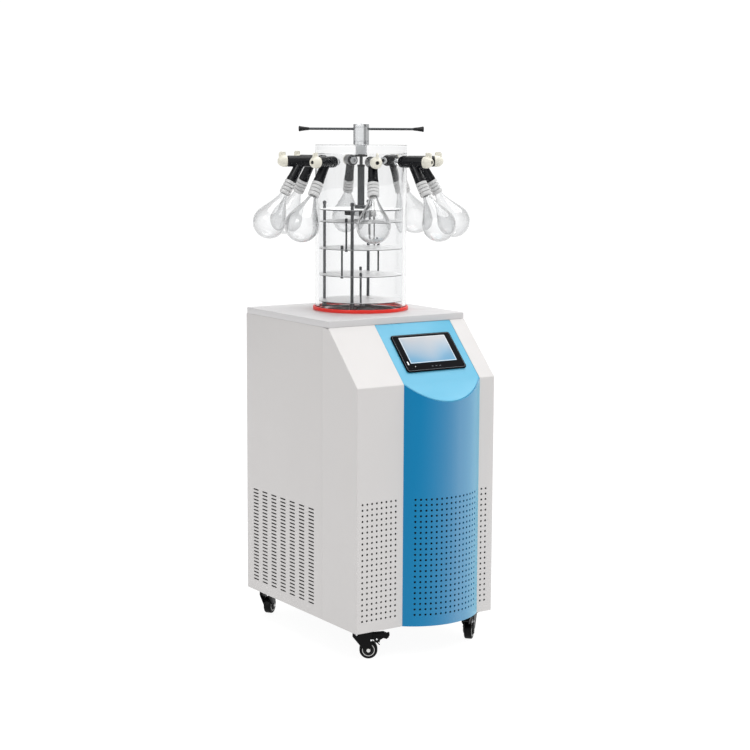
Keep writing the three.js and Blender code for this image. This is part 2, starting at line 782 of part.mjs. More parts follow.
/** Cross bar with a tapered grip at each end. */
function handleBar() {
  const start = barReach - gripLength;
  const half = [
    [barRadius, start], [gripInner, start], [gripOuter, barReach - gripRound],
    [gripOuter - gripRound, barReach], [0, barReach],
  ];
  const mirrored = half.map(([r, z]) => [r, -z]).reverse();
  return placed(revolve([...mirrored, ...half], smallSteps), alongXZ(0, hubBottom + barHeight, 1, 0));
}

// ------------------------------------------------------------------ valves, knobs, flasks
const branchDirection = [Math.cos(radians(branchTilt)), -Math.sin(radians(branchTilt))];

/** Lays a solid made about Z along the sloping branch of a valve. */
function alongBranch(body) {
  return placed(body, alongXZ(branchStart, portHeight, ...branchDirection));
}

/** Valve: a round-nosed rubber barrel with a sloping branch, held by a nut inside the chamber. */
function valveBody() {
  const nutRadius = nutFlats / Math.sqrt(3);
  const nutFace = Math.sqrt(chamberInside ** 2 - nutRadius ** 2) * Math.cos(Math.PI / roundSteps) - CLEAR;
  const nose = chamberRadius + CLEAR;
  const barrel = revolve([
    [0, nutFace - nutThick], [spigotRadius, nutFace - nutThick], [spigotRadius, nose],
    [spigotRadius + spigotShoulder, nose], [barrelRadius - barrelCrown, nose + barrelRounding / 2],
    [barrelRadius, nose + barrelRounding], [barrelRadius, barrelEnd], [0, barrelEnd],
  ], smallSteps);
  const nut = rod(nutRadius, nutFace - nutThick, nutFace, 6);
  const knobBore = rod(boreRadius(knobStem), barrelEnd - knobStemLength - CLEAR, barrelEnd + OVERSHOOT);
  const branch = alongBranch(rod(branchRadius, 0, branchLength));
  const socketStart = branchLength - socketDepth;
  const socket = alongBranch(rod(boreRadius(flaskNeck), socketStart, branchLength + OVERSHOOT));
  return cut(join(radially(join(barrel, nut)), branch), radially(knobBore), socket);
}

/** Knob of a valve: a domed cap with a centre hole, a pointer fin and a stem into the barrel. */
function valveKnob() {
  const start = barrelEnd + CLEAR;
  const end = start + knobLength;
  const cap = revolve([
    [0, start - knobStemLength], [knobStem, start - knobStemLength], [knobStem, start], [knobRadius, start],
    [knobRadius, end - knobShoulder], [knobRadius - knobCrown, end - knobCrownDrop],
    [knobHole + knobHoleFlare, end], [knobHole, end - knobHoleDepth], [0, end - knobHoleDepth],
  ], smallSteps);
  const fin = block(
    [start + finStart, -finWidth / 2, portHeight + knobRadius - finRoot],
    [start + finStart + finLength, finWidth / 2, portHeight + finTop]);
  return join(radially(cap), fin);
}

/** Flask: a pear-shaped glass bulb whose neck wears a grooved cap ring under the branch. */
function flask() {
  const mouth = branchLength - socketDepth + CLEAR;
  const ringTop = branchLength + CLEAR;
  const ringEnd = ringTop + ringLength;
  const shoulder = flaskNeck + flaskShoulder;
  const flaskCentre = ringEnd + flaskDrop;
  const tangent = Math.asin(flaskRadius / Math.hypot(flaskDrop, shoulder));
  const cone = tangent - Math.atan2(shoulder, flaskDrop);
  const bulb = (radius, turn) => [radius * Math.cos(turn), flaskCentre + radius * Math.sin(turn)];
  const innerRadius = flaskRadius - flaskWall;
  const groove = ringTop + ringLength / 2;
  const outer = [
    bulb(flaskRadius, -cone), bulb(flaskRadius, 0.05), bulb(flaskRadius, 0.5), bulb(flaskRadius, 1.0),
  ];
  const inner = [bulb(innerRadius, 0.9), bulb(innerRadius, 0.3), bulb(innerRadius, -cone)];
  const profile = [
    [flaskNeck - flaskWall, mouth], [flaskNeck, mouth], [flaskNeck, ringTop], [ringRadius, ringTop],
    [ringRadius, groove - ringGroove], [ringRadius - ringGroove, groove], [ringRadius, groove + ringGroove],
    [ringRadius, ringEnd], [shoulder, ringEnd], ...outer, [0, flaskCentre + flaskRadius],
    [0, flaskCentre + innerRadius], ...inner, [shoulder - flaskWall, ringEnd],
  ];
  // the profile runs down the outside and up the inside, so it is read backwards for the lathe
  const turned = profile.map(([r, z]) => [r, -z]);
  const body = revolve(rotateToAxis(turned), smallSteps);
  return alongBranch(placed(body, new THREE.Matrix4().makeRotationX(Math.PI)));
}

/** Starts a closed profile at its lower point on the axis, counter-clockwise. */
function rotateToAxis(points) {
  const first = points.findIndex(([r]) => r === 0);
  const turned = [...points.slice(first + 1), ...points.slice(0, first + 1)];
  return signedArea(turned) > 0 ? turned : turned.reverse();
}

/** Signed area of a closed polygon, positive when it runs counter-clockwise. */
function signedArea(points) {
  return points.reduce((sum, [x, y], index) => {
    const [nextX, nextY] = points[(index + 1) % points.length];
    return sum + (x * nextY - nextX * y) / 2;
  }, 0);
}

// ------------------------------------------------------------------ casters
/** Where the casters stand, how each has swivelled (degrees), and which ones have a brake. */
function casterPlaces() {
  const right = cabinetWidth - casterInset;
  const back = cabinetDepth - casterInset;
  return [
    { name: "front_left", x: casterInset, y: casterInset, turn: -33.7, brake: true },
    { name: "front_right", x: right, y: casterInset, turn: -137.5, brake: true },
    { name: "rear_left", x: casterInset, y: back, turn: 38, brake: false },
    { name: "rear_right", x: right, y: back, turn: -33.7, brake: false },
  ];
}

const axleZ = -casterHeight + wheelRadius;
const forkZ = -casterPlateThick - CLEAR;
const pedalZ = forkZ - forkRoof - 2 * CLEAR - pedalKnuckle;
const pinSteps = 8;

/** Lays a solid made about Z along Y, at a point of the caster's side view. */
function acrossY(body, x, z) {
  return placed(body, new THREE.Matrix4().makeRotationX(-Math.PI / 2).setPosition(x, 0, z));
}

/** Side view of a caster fork, drawn as [x, z] points and given a width across. */
function sideways(points, halfWidth) {
  const geometry = new THREE.ExtrudeGeometry(outline(points), { depth: 2 * halfWidth, bevelEnabled: false });
  geometry.rotateX(Math.PI / 2);
  geometry.translate(0, halfWidth, 0);
  return solid(geometry);
}

/** Swivel fork: a hooded housing with two cheeks, the axle and the pin of the brake pedal. */
function casterFork(brake) {
  const inner = wheelWidth / 2 + forkGap;
  const outer = inner + forkCheek;
  const eye = [];
  for (let step = 0; step <= 6; step += 1) {
    const turn = radians(-150 + step * 30);
    eye.push([trail + forkEye * Math.cos(turn), axleZ + forkEye * Math.sin(turn)]);
  }
  const rear = pedalX + pedalKnuckle + pedalWall;
  const hood = sideways([
    [-forkTop + 2 * forkNose, forkZ - BITE], [-forkTop + forkNose, -forkNoseDrop], ...eye,
    [rear, -forkTailDrop], [rear, forkZ - BITE],
  ], outer);
  const slot = block(
    [-casterHeight, -inner, -casterHeight - OVERSHOOT], [casterHeight, inner, forkZ - forkRoof]);
  const turntable = rod(forkTop, forkZ - forkRoof, forkZ, wheelFacets);
  const axle = acrossY(rod(axleRadius, -outer - axleHead, outer + axleHead), trail, axleZ);
  const pieces = [cut(hood, slot), turntable, axle];
  if (brake) {
    pieces.push(acrossY(rod(pedalPin, -inner - BITE, inner + BITE, pinSteps), pedalX, pedalZ));
  }
  return join(...pieces);
}

/** Wheel: a tread with rounded shoulders and dished faces, standing on one of its flats. */
function casterWheel() {
  const tread = wheelRadius / Math.cos(Math.PI / wheelFacets);
  const bore = boreRadius(axleRadius, wheelFacets);
  const half = wheelWidth / 2;
  const body = revolve([
    [bore, -half], [wheelBoss, -half], [wheelHub, -half + wheelDish], [tread - wheelShoulder, -half],
    [tread, -half + wheelShoulder], [tread, half - wheelShoulder], [tread - wheelShoulder, half],
    [wheelHub, half - wheelDish], [wheelBoss, half], [bore, half],
  ], wheelFacets, true);
  return acrossY(body.rotate([0, 0, 180 / wheelFacets]), trail, axleZ);
}

/** Brake pedal: a knuckle on its pin, a tread plate with a cross rib and a rolled end, two webs. */
function brakePedal() {
  const half = wheelWidth / 2;
  const knuckle = rod(pedalKnuckle, -half, half);
  const plate = block([0, -pedalThick / 2, -half], [pedalLength, pedalThick / 2, half]);
  const toe = rod(pedalToe, -half, half, pinSteps).translate([pedalLength, 0, 0]);
  const rib = rod(pedalRib, -half, half, pinSteps).translate([pedalRibAt, 0, 0]);
  const web = outline([
    [0, 0], [pedalWebReach, 0], [pedalWebReach, pedalWebDepth], [pedalKnuckle, pedalWebDepth],
    [0, pedalKnuckle],
  ]);
  const webs = [slab(web, -half, -half + pedalWall), slab(web, half - pedalWall, half)];
  const bore = rod(boreRadius(pedalPin, pinSteps), -half - OVERSHOOT, half + OVERSHOOT, pinSteps);
  const body = cut(join(knuckle, plate, toe, rib, ...webs), bore).rotate([0, 0, pedalTilt]);
  return acrossY(body, pedalX, pedalZ);
}

// ------------------------------------------------------------------ assembly
function buildCabinet(machine) {
  piece(machine, "base_plate", basePlate(), finish.darkSteel);
  piece(machine, "front_shell", frontShell(), finish.panel);
  piece(machine, "front_cover", frontCover(), finish.cover);
  piece(machine, "console_panel", consolePanel(), finish.console);
  piece(machine, "screen_bezel", screenBezel(), finish.bezel);
  piece(machine, "display_glass", displayGlass(), finish.display);
  piece(machine, "side_panel_left", sidePanel(0, slotColumns), finish.panel);
  piece(machine, "side_panel_right", sidePanel(cabinetWidth - sheet, 0), finish.panel);
  piece(machine, "back_panel", backPanel(), finish.panel);
  piece(machine, "worktop", worktop(), finish.worktop);
  piece(machine, "power_inlet", powerInlet(), finish.black);
  piece(machine, "vacuum_port", vacuumPort(), finish.steel);
}

function buildChamber(machine) {
  const chamber = new THREE.Group();
  chamber.position.set(chamberX, chamberY, worktopTop);
  machine.add(chamber);
  piece(chamber, "cold_trap", coldTrap(), finish.steel);
  piece(chamber, "gasket_ring", gasketRing(), finish.gasket);
  piece(chamber, "chamber_tube", chamberTube(), finish.acrylic);
  piece(chamber, "chamber_lid", chamberLid(), finish.acrylic);
  piece(chamber, "lid_gland", lidGland(), finish.aluminium);
  piece(chamber, "rack_frame", rackFrame(), finish.darkSteel);
  shelfTops.forEach((top, level) => piece(chamber, `shelf_${level + 1}`, shelf(level), finish.steel));
  piece(chamber, "press_platen", pressPlaten(), finish.black);
  const handle = new THREE.Group();
  handle.rotation.z = radians(barAngle);
  chamber.add(handle);
  piece(handle, "press_screw", pressScrew(), finish.steel);
  piece(handle, "handle_hub", handleHub(), finish.aluminium);
  piece(handle, "handle_bar", handleBar(), finish.black);
  buildManifold(chamber);
}

function buildManifold(chamber) {
  const [valve, knob, bottle] = [valveBody(), valveKnob(), flask()].map((body) =>
    geometryOf(body).translate(0, 0, -portHeight)); // drawn about the axis of the barrel
  for (let index = 0; index < portCount; index += 1) {
    const port = new THREE.Group();
    port.rotation.z = portTurn(index);
    chamber.add(port);
    const mounted = new THREE.Group();
    mounted.position.z = portHeight;
    mounted.rotation.x = radians(valveRolls[index]);
    port.add(mounted);
    piece(mounted, `valve_${index + 1}`, valve, finish.rubber);
    piece(mounted, `valve_knob_${index + 1}`, knob, finish.ivory);
    piece(mounted, `flask_${index + 1}`, bottle, finish.glass);
  }
}

function buildCasters(machine) {
  const wheel = geometryOf(casterWheel());
  const pedal = geometryOf(brakePedal());
  for (const { name, x, y, turn, brake } of casterPlaces()) {
    const caster = new THREE.Group();
    caster.position.set(x, y, 0);
    caster.rotation.z = radians(turn);
    machine.add(caster);
    piece(caster, `caster_fork_${name}`, casterFork(brake), finish.black);
    piece(caster, `caster_wheel_${name}`, wheel, finish.rubber);
    if (brake) {
      piece(caster, `brake_pedal_${name}`, pedal, finish.black);
    }
  }
}

const machine = new THREE.Group();
buildCabinet(machine);
buildChamber(machine);
buildCasters(machine);

// the machine stands on the floor, under the middle of its bounding box
machine.updateMatrixWorld(true);
const extent = new THREE.Box3().setFromObject(machine, true);
const middle = extent.getCenter(new THREE.Vector3());
machine.position.set(-middle.x, -middle.y, -extent.min.z);
machine.updateMatrixWorld(true);

const group = new THREE.Group();
group.add(machine);
export default group;
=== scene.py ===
"""Looks of a floor-standing freeze dryer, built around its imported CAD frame.

Every length is in metres, in the frame's own axes: X to the right, Y to the back, Z up, with the
origin on the floor under the middle of the machine.
"""

from __future__ import annotations

import json
import logging
import math
from dataclasses import dataclass
from enum import Enum
from typing import Callable, Iterable, Sequence

import bmesh
import bpy
from mathutils import Matrix, Vector

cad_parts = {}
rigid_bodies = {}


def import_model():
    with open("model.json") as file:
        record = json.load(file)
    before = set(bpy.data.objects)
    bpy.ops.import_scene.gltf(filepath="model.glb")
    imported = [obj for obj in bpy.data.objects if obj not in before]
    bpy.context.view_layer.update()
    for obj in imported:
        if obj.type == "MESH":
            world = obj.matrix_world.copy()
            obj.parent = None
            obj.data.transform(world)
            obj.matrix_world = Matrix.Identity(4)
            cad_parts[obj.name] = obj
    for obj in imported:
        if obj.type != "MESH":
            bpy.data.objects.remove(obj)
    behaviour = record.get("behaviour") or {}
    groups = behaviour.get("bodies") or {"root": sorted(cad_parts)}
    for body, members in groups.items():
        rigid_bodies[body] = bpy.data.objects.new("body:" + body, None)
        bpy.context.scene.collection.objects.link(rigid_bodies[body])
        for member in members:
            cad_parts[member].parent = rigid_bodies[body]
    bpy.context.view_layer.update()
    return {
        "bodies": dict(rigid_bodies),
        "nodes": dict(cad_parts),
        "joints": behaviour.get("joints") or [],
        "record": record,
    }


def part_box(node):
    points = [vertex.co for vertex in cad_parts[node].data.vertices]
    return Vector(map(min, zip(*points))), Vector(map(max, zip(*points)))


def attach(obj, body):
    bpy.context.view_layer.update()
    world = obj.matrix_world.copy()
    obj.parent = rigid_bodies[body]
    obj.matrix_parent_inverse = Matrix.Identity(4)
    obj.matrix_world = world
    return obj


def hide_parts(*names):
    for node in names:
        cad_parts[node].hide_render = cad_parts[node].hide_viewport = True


log = logging.getLogger("freeze_dryer")

Form = bmesh.types.BMesh
Node = bpy.types.Node
Socket = bpy.types.NodeSocket
Point = tuple[float, float]
Colour = tuple[float, float, float]

UP = Vector((0.0, 0.0, 1.0))


class Slot(Enum):
    """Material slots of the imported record."""

    PANEL = "panel_paint"
    WORKTOP = "worktop_paint"
    COVER = "cover_blue"
    CONSOLE = "console_blue"
    SCREEN = "screen_black"
    DISPLAY = "display_glass"
    STEEL = "steel"
    SHELF = "shelf_steel"
    DARK_STEEL = "dark_steel"
    ALUMINIUM = "aluminium"
    BLACK_PLASTIC = "black_plastic"
    CASTER = "caster_black"
    WHEEL = "wheel_rubber"
    VALVE = "valve_rubber"
    GASKET = "gasket_rubber"
    ACRYLIC = "acrylic"
    FLASK = "flask_glass"
    KNOB = "knob_ivory"


class Operation(Enum):
    """What a boolean does."""

    JOIN = "UNION"
    CUT = "DIFFERENCE"


class Side(Enum):
    """Sides of the cabinet, as directions of X."""

    LEFT = -1
    RIGHT = 1


class Corner(Enum):
    """Corners of the cabinet that a caster stands under."""

    FRONT_LEFT = "front_left"
    FRONT_RIGHT = "front_right"
    REAR_LEFT = "rear_left"
    REAR_RIGHT = "rear_right"


# ------------------------------ places
def shift(x: float, y: float, z: float) -> Matrix:
    """Matrix that moves and doesn't turn."""
    return Matrix.Translation((x, y, z))


def turn(degrees: float, axis: str = "Z") -> Matrix:
    """Matrix that turns about an axis of the frame."""
    return Matrix.Rotation(math.radians(degrees), 4, axis)


BOTH_ENDS = (Matrix.Identity(4), turn(180.0, "X"))


def basis(
    first: Sequence[float], second: Sequence[float], third: Sequence[float], origin: Sequence[float]
) -> Matrix:
    """Matrix whose columns are three directions and a place."""
    return Matrix.Translation(origin) @ Matrix((first, second, third)).transposed().to_4x4()


def on_back(x: float, y: float, z: float) -> Matrix:
    """Place on the back of the machine, with X to a viewer's right there, Y up and Z outwards."""
    return basis((-1, 0, 0), (0, 0, 1), (0, 1, 0), (x, y, z))


def upright(x: float = 0.0, y: float = 0.0, z: float = 0.0) -> Matrix:
    """Stands a side view, drawn as depth and height, on its edge, with its thickness towards -Y."""
    return basis((1, 0, 0), (0, 0, 1), (0, -1, 0), (x, y, z))


def along(x: float, z: float, direction: Point) -> Matrix:
    """Lays the Z axis along a direction in the XZ plane.

    Args:
        x: Where the new origin lies.
        z: And how high.
        direction: X and Z of the direction.

    Returns:
        The place.
    """
    axis = Vector((direction[0], 0.0, direction[1])).normalized()
    side = Vector((0.0, 1.0, 0.0))
    return basis(side.cross(axis), side, axis, (x, 0.0, z))


def around(radius: float, degrees: float) -> Vector:
    """Point on a circle about Z, from the front towards the right."""
    angle = math.radians(degrees)
    return Vector((radius * math.sin(angle), -radius * math.cos(angle), 0.0))


def corners(node: str) -> tuple[Vector, Vector]:
    """Lowest and highest corner of a CAD node."""
    low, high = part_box(node)
    return Vector(low), Vector(high)


# ------------------------------ outlines
def arc(centre: Point, radius: float, start: float, stop: float, steps: int) -> list[Point]:
    """Points on an arc in even steps, from one angle to another in degrees, both included."""
    angles = [math.radians(start + (stop - start) * i / steps) for i in range(steps + 1)]
    return [(centre[0] + radius * math.cos(a), centre[1] + radius * math.sin(a)) for a in angles]


def disc(radius: float, steps: int = 128) -> list[Point]:
    """Points round a disc, from the front."""
    return [tuple(around(radius, 360 * k / steps).xy) for k in range(steps)]


def rounded_outline(width: float, height: float, corner: float, steps: int = 5) -> list[Point]:
    """Rectangle with round corners, counter-clockwise.

    Args:
        width: Its width, from the origin.
        height: Its height, from the origin.
        corner: Radius of its corners.
        steps: Steps round each corner.

    Returns:
        Its points.
    """
    places = [(width - corner, corner, -90), (width - corner, height - corner, 0),
              (corner, height - corner, 90), (corner, corner, 180)]
    return [p for x, y, start in places for p in arc((x, y), corner, start, start + 90, steps)]


# ------------------------------ objects
def linked(name: str, data: object) -> bpy.types.Object:
    """Makes an object and puts it in the scene.

    Args:
        name: Its name.
        data: Its mesh, light or camera.

    Returns:
        The object.
    """
    made = bpy.data.objects.new(name, data)
    bpy.context.scene.collection.objects.link(made)
    return made


def stored(name: str, form: Form) -> bpy.types.Mesh:
    """Stores a mesh in the file.

    Args:
        name: Its name.
        form: The mesh, which is freed.

    Returns:
        The stored mesh.
    """
    mesh = bpy.data.meshes.new(name)
    form.to_mesh(mesh)
    form.free()
    return mesh


# ------------------------------ mesh tools
def merged(*forms: Form) -> Form:
    """Puts several meshes into the first one.

    Args:
        forms: The meshes. All but the first are freed.

    Returns:
        The first mesh, which now holds them all.
    """
    whole = forms[0]
    for form in forms[1:]:
        carrier = stored("carrier", form)
        whole.from_mesh(carrier)
        bpy.data.meshes.remove(carrier)
    return whole


def moved(form: Form, matrix: Matrix) -> Form:
    """Moves a mesh by a matrix and returns it."""
    bmesh.ops.transform(form, matrix=matrix, verts=form.verts)
    return form


def copies(form: Form, places: Iterable[Matrix]) -> Form:
    """Puts a copy of a mesh at each of several places.

    Args:
        form: The mesh, which is freed.
        places: The places.

    Returns:
        One mesh that holds the copies.
    """
    whole = merged(*[moved(form.copy(), place) for place in places])
    form.free()
    return whole


def lathe(points: Sequence[Point], steps: int = 48, ring: bool = False) -> Form:
    """Turns a profile about Z.

    Args:
        points: Radius and height of each point of the profile.
        steps: Number of steps round.
        ring: True if the profile closes on itself, away from the axis.

    Returns:
        A closed mesh whose faces point outwards.
    """
    form = bmesh.new()
    verts = [form.verts.new((radius, 0.0, height)) for radius, height in points]
    edges = [form.edges.new(pair) for pair in zip(verts, verts[1:])]
    if ring:
        edges.append(form.edges.new((verts[-1], verts[0])))
    bmesh.ops.spin(
        form, geom=verts + edges, cent=(0, 0, 0), axis=UP, angle=2 * math.pi, steps=steps, use_merge=True
    )
    bmesh.ops.remove_doubles(form, verts=form.verts, dist=1e-6)
    bmesh.ops.recalc_face_normals(form, faces=form.faces)
    return form


def rod(radius: float, low: float, high: float, steps: int = 24) -> Form:
    """Returns a plain round rod about Z, between two heights."""
    return lathe([(0, low), (radius, low), (radius, high), (0, high)], steps)


def block(low: Sequence[float], high: Sequence[float]) -> Form:
    """Makes a box between two corners.

    Args:
        low: Its lowest corner.
        high: Its highest corner.

    Returns:
        The box.
    """
    form = bmesh.new()
    low_corner, high_corner = Vector(low), Vector(high)
    size = Matrix.Diagonal((*(high_corner - low_corner), 1.0))
    bmesh.ops.create_cube(form, size=1.0, matrix=Matrix.Translation((low_corner + high_corner) / 2) @ size)
    return form


def soften(
    form: Form, width: float, segments: int = 2, sharper_than: float = 30.0, longer_than: float = 0.0
) -> Form:
    """Rounds every edge that is sharper than an angle.

    Args:
        form: The mesh to round.
        width: How far each bevel reaches from the edge.
        segments: Steps across each bevel.
        sharper_than: Least angle between two faces, in degrees.
        longer_than: Least length, which leaves the rims of small holes alone.

    Returns:
        The same mesh.
    """
    limit = math.radians(sharper_than)
    edges = [
        e for e in form.edges
        if len(e.link_faces) == 2 and e.calc_length() >= longer_than and e.calc_face_angle(0.0) > limit
    ]
    bmesh.ops.bevel(
        form, geom=edges, offset=width, offset_type="OFFSET", segments=segments, profile=0.5,
        affect="EDGES", clamp_overlap=True, material=-1,
    )
    return form


def extruded(outline: Sequence[Point], depth: float) -> Form:
    """Raises a flat outline to a closed slab.

    Args:
        outline: The outline in XY.
        depth: How high the slab is, from Z 0.

    Returns:
        The slab.
    """
    form = bmesh.new()
    face = form.faces.new([form.verts.new((x, y, 0.0)) for x, y in outline])
    top = bmesh.ops.extrude_face_region(form, geom=[face], use_keep_orig=True)
    raised = [v for v in top["geom"] if isinstance(v, bmesh.types.BMVert)]
    bmesh.ops.translate(form, verts=raised, vec=(0, 0, depth))
    bmesh.ops.recalc_face_normals(form, faces=form.faces)
    return form


@dataclass(frozen=True)
class Plate:
    """Flat plate with round corners, from the origin and Z 0."""

    width: float
    height: float
    corner: float
    thick: float
    steps: int = 5
    edge: float = 0.0
    segments: int = 2

    def form(self) -> Form:
        """Makes the plate, with its edges rounded where it has a width for that."""
        form = extruded(rounded_outline(self.width, self.height, self.corner, self.steps), self.thick)
        return soften(form, self.edge, self.segments, 50.0) if self.edge else form


@dataclass(frozen=True)
class Hole:
    """A round hole, or a slot with round ends, in a flat sheet."""

    x: float
    y: float
    radius: float
    stretch: float = 0.0
    sides: int = 12

    def cut_into(self, form: Form) -> None:
        """Adds the hole's rim to a sheet.

        Args:
            form: The sheet's outline, which isn't filled yet.
        """
        place = shift(self.x, self.y, 0.0) @ Matrix.Rotation(math.pi / self.sides, 4, "Z")
        rim = bmesh.ops.create_circle(
            form, cap_ends=False, segments=self.sides, radius=self.radius, matrix=place
        )
        for vert in rim["verts"]:
            vert.co.x += math.copysign(self.stretch / 2, vert.co.x - self.x)


def outlined(form: Form, points: Sequence[Point]) -> list[bmesh.types.BMEdge]:
    """Draws a closed flat loop in a mesh and returns its edges."""
    verts = [form.verts.new((x, y, 0.0)) for x, y in points]
    return [form.edges.new(pair) for pair in zip(verts, verts[1:] + verts[:1])]


def facing_up(form: Form) -> Form:
    """Turns every face of a flat sheet upwards and returns the sheet."""
    bmesh.ops.reverse_faces(form, faces=[face for face in form.faces if face.normal.z < 0])
    return form


def punched_sheet(outline: Sequence[Point], holes: Iterable[Hole]) -> Form:
    """Flat sheet in XY with holes through it.

    Args:
        outline: Corners of the sheet.
        holes: The holes.

    Returns:
        A mesh of one layer of faces that point up.
    """
    form = bmesh.new()
    outlined(form, outline)
    for hole in holes:
        hole.cut_into(form)
    bmesh.ops.triangle_fill(form, use_beauty=True, use_dissolve=False, edges=form.edges[:], normal=UP)
    return facing_up(form)


def thickened(form: Form, thickness: float) -> Form:
    """Gives a sheet its thickness, on the side that its faces look away from.

    Args:
        form: The sheet.
        thickness: How thick it gets.

    Returns:
        The same mesh, now closed.
    """
    form.normal_update()
    bmesh.ops.solidify(form, geom=form.faces[:], thickness=thickness)
    return form


def raised_frame(width: float, height: float, corner: float, wide: float, high: float) -> Form:
    """Narrow raised frame with round corners.

    Args:
        width: Its outer width.
        height: Its outer height.
        corner: Radius of its outer corners.
        wide: How wide its band is.
        high: How high it stands above Z 0.

    Returns:
        The frame.
    """
    inside = rounded_outline(width - 2 * wide, height - 2 * wide, max(corner - wide, 0.0002), 6)
    form = bmesh.new()
    rims = outlined(form, rounded_outline(width, height, corner, 6))
    rims += outlined(form, [(wide + x, wide + y) for x, y in inside])
    bmesh.ops.bridge_loops(form, edges=rims)
    form.normal_update()
    return moved(thickened(facing_up(form), high), shift(0, 0, high))


def button_head(radius: float, height: float = 0.0018) -> Form:
    """Low round screw head with a socket, seated at Z 0 and standing up.

    Args:
        radius: Its radius.
        height: Its height.

    Returns:
        The head, which reaches a little below its seat.
    """
    floor, foot = 0.35 * height, -0.0004
    return lathe([
        (0.0, floor), (0.36 * radius, floor), (0.4 * radius, 0.97 * height), (0.55 * radius, height),
        (0.8 * radius, 0.86 * height), (0.95 * radius, 0.5 * height), (radius, 0.1 * height),
        (radius, foot), (0.0, foot),
    ], 18)


def evaluated(form: Form, *setups: Callable[[bpy.types.Object], None]) -> Form:
    """Runs modifiers on a mesh and returns the result.

    Args:
        form: The mesh, which is freed.
        setups: Each adds one modifier to the object that carries the mesh.

    Returns:
        A new mesh.
    """
    mesh = stored("bench", form)
    carrier = linked("bench", mesh)
    for setup in setups:
        setup(carrier)
    result = bmesh.new()
    result.from_object(carrier, bpy.context.evaluated_depsgraph_get())
    bpy.data.objects.remove(carrier)
    bpy.data.meshes.remove(mesh)
    return result


def combined(form: Form, tool: Form, operation: Operation) -> Form:
    """Joins or cuts two closed meshes.

    Args:
        form: The mesh that is worked on. It is freed.
        tool: The other mesh. It is freed.
        operation: What is done.

    Returns:
        A new closed mesh.
    """
    mesh = stored("tool", tool)
    cutter = linked("tool", mesh)

    def setup(carrier: bpy.types.Object) -> None:
        """Adds the boolean.

        Args:
            carrier: The object that gets it.
        """
        modifier = carrier.modifiers.new("cut", "BOOLEAN")
        modifier.object = cutter
        modifier.operation = operation.value
        modifier.solver = "EXACT"

    result = evaluated(form, setup)
    bpy.data.objects.remove(cutter)
    bpy.data.meshes.remove(mesh)
    return result


def fused(form: Form, voxel: float, passes: int) -> Form:
    """Fuses overlapping shells into one moulded skin with small fillets.

    Args:
        form: The mesh. It is freed.
        voxel: Size of the skin's grid.
        passes: How often the skin is smoothed.

    Returns:
        The new skin.
    """

    def remesh(carrier: bpy.types.Object) -> None:
        """Adds the voxel remesh.

        Args:
            carrier: The object that gets it.
        """
        modifier = carrier.modifiers.new("skin", "REMESH")
        modifier.mode = "VOXEL"
        modifier.voxel_size = voxel

    def smooth(carrier: bpy.types.Object) -> None:
        """Adds the smoothing.

        Args:
            carrier: The object that gets it.
        """
        modifier = carrier.modifiers.new("smooth", "SMOOTH")
        modifier.factor = 0.5
        modifier.iterations = passes

    return evaluated(form, remesh, smooth)


# ------------------------------ shader nodes
def rgba(colour: Colour) -> tuple[float, float, float, float]:
    """Adds full alpha to a colour."""
    return (*colour, 1.0)


class Nodes:
    """Small helper that adds and links shader nodes in one tree."""

    def __init__(self, tree: bpy.types.NodeTree) -> None:
        """Keeps the tree that is worked on."""
        self.tree = tree

    def add(self, kind: str, **settings: object) -> Node:
        """Adds a node and sets its properties.

        Args:
            kind: The node's type, without ShaderNode.
            settings: Properties of the node.

        Returns:
            The node.
        """
        node = self.tree.nodes.new("ShaderNode" + kind)
        for name, value in settings.items():
            setattr(node, name, value)
        return node

    def link(self, source: Socket, target: Socket) -> None:
        """Links two sockets."""
        self.tree.links.new(source, target)

    def feed(self, target: Socket, value: object) -> None:
        """Links a socket to a target, or sets the target to a value.

        Args:
            target: The socket that is fed.
            value: A socket or a value.
        """
        if isinstance(value, Socket):
            self.link(value, target)
        else:
            target.default_value = value

    def fed(self, node: Node, values: dict[int, object], output: int = 0) -> Socket:
        """Feeds a node's inputs.

        Args:
            node: The node.
            values: A socket or a value for each input, by its number.
            output: Number of the output that is wanted.

        Returns:
            That output.
        """
        for number, value in values.items():
            self.feed(node.inputs[number], value)
        return node.outputs[output]

    def math(self, operation: str, first: object, second: object = 0.0, clamp: bool = False) -> Socket:
        """Adds a math node, by its operation and two values or sockets, and returns its result."""
        return self.fed(self.add("Math", operation=operation, use_clamp=clamp), {0: first, 1: second})

    def mix(self, factor: object, first: object, second: object) -> Socket:
        """Mixes two colours by a factor and returns the result."""
        return self.fed(self.add("Mix", data_type="RGBA"), {0: factor, 6: first, 7: second}, 2)

    def band(self, value: object, low: object, high: object, out_low: object, out_high: object) -> Socket:
        """Maps a value from one range to another, clamped, and returns the result."""
        given = (value, low, high, out_low, out_high)
        return self.fed(self.add("MapRange", clamp=True), dict(enumerate(given)))

    def noise(self, vector: object, scale: object, detail: float = 2.0, roughness: float = 0.5) -> Socket:
        """Adds a noise texture.

        Args:
            vector: Where it is read.
            scale: How fine it is.
            detail: How many finer layers it has.
            roughness: How strong they are.

        Returns:
            Its value.
        """
        node = self.add("TexNoise")
        given = {"Vector": vector, "Scale": scale, "Detail": detail, "Roughness": roughness}
        for name, value in given.items():
            self.feed(node.inputs[name], value)
        return node.outputs["Fac"]


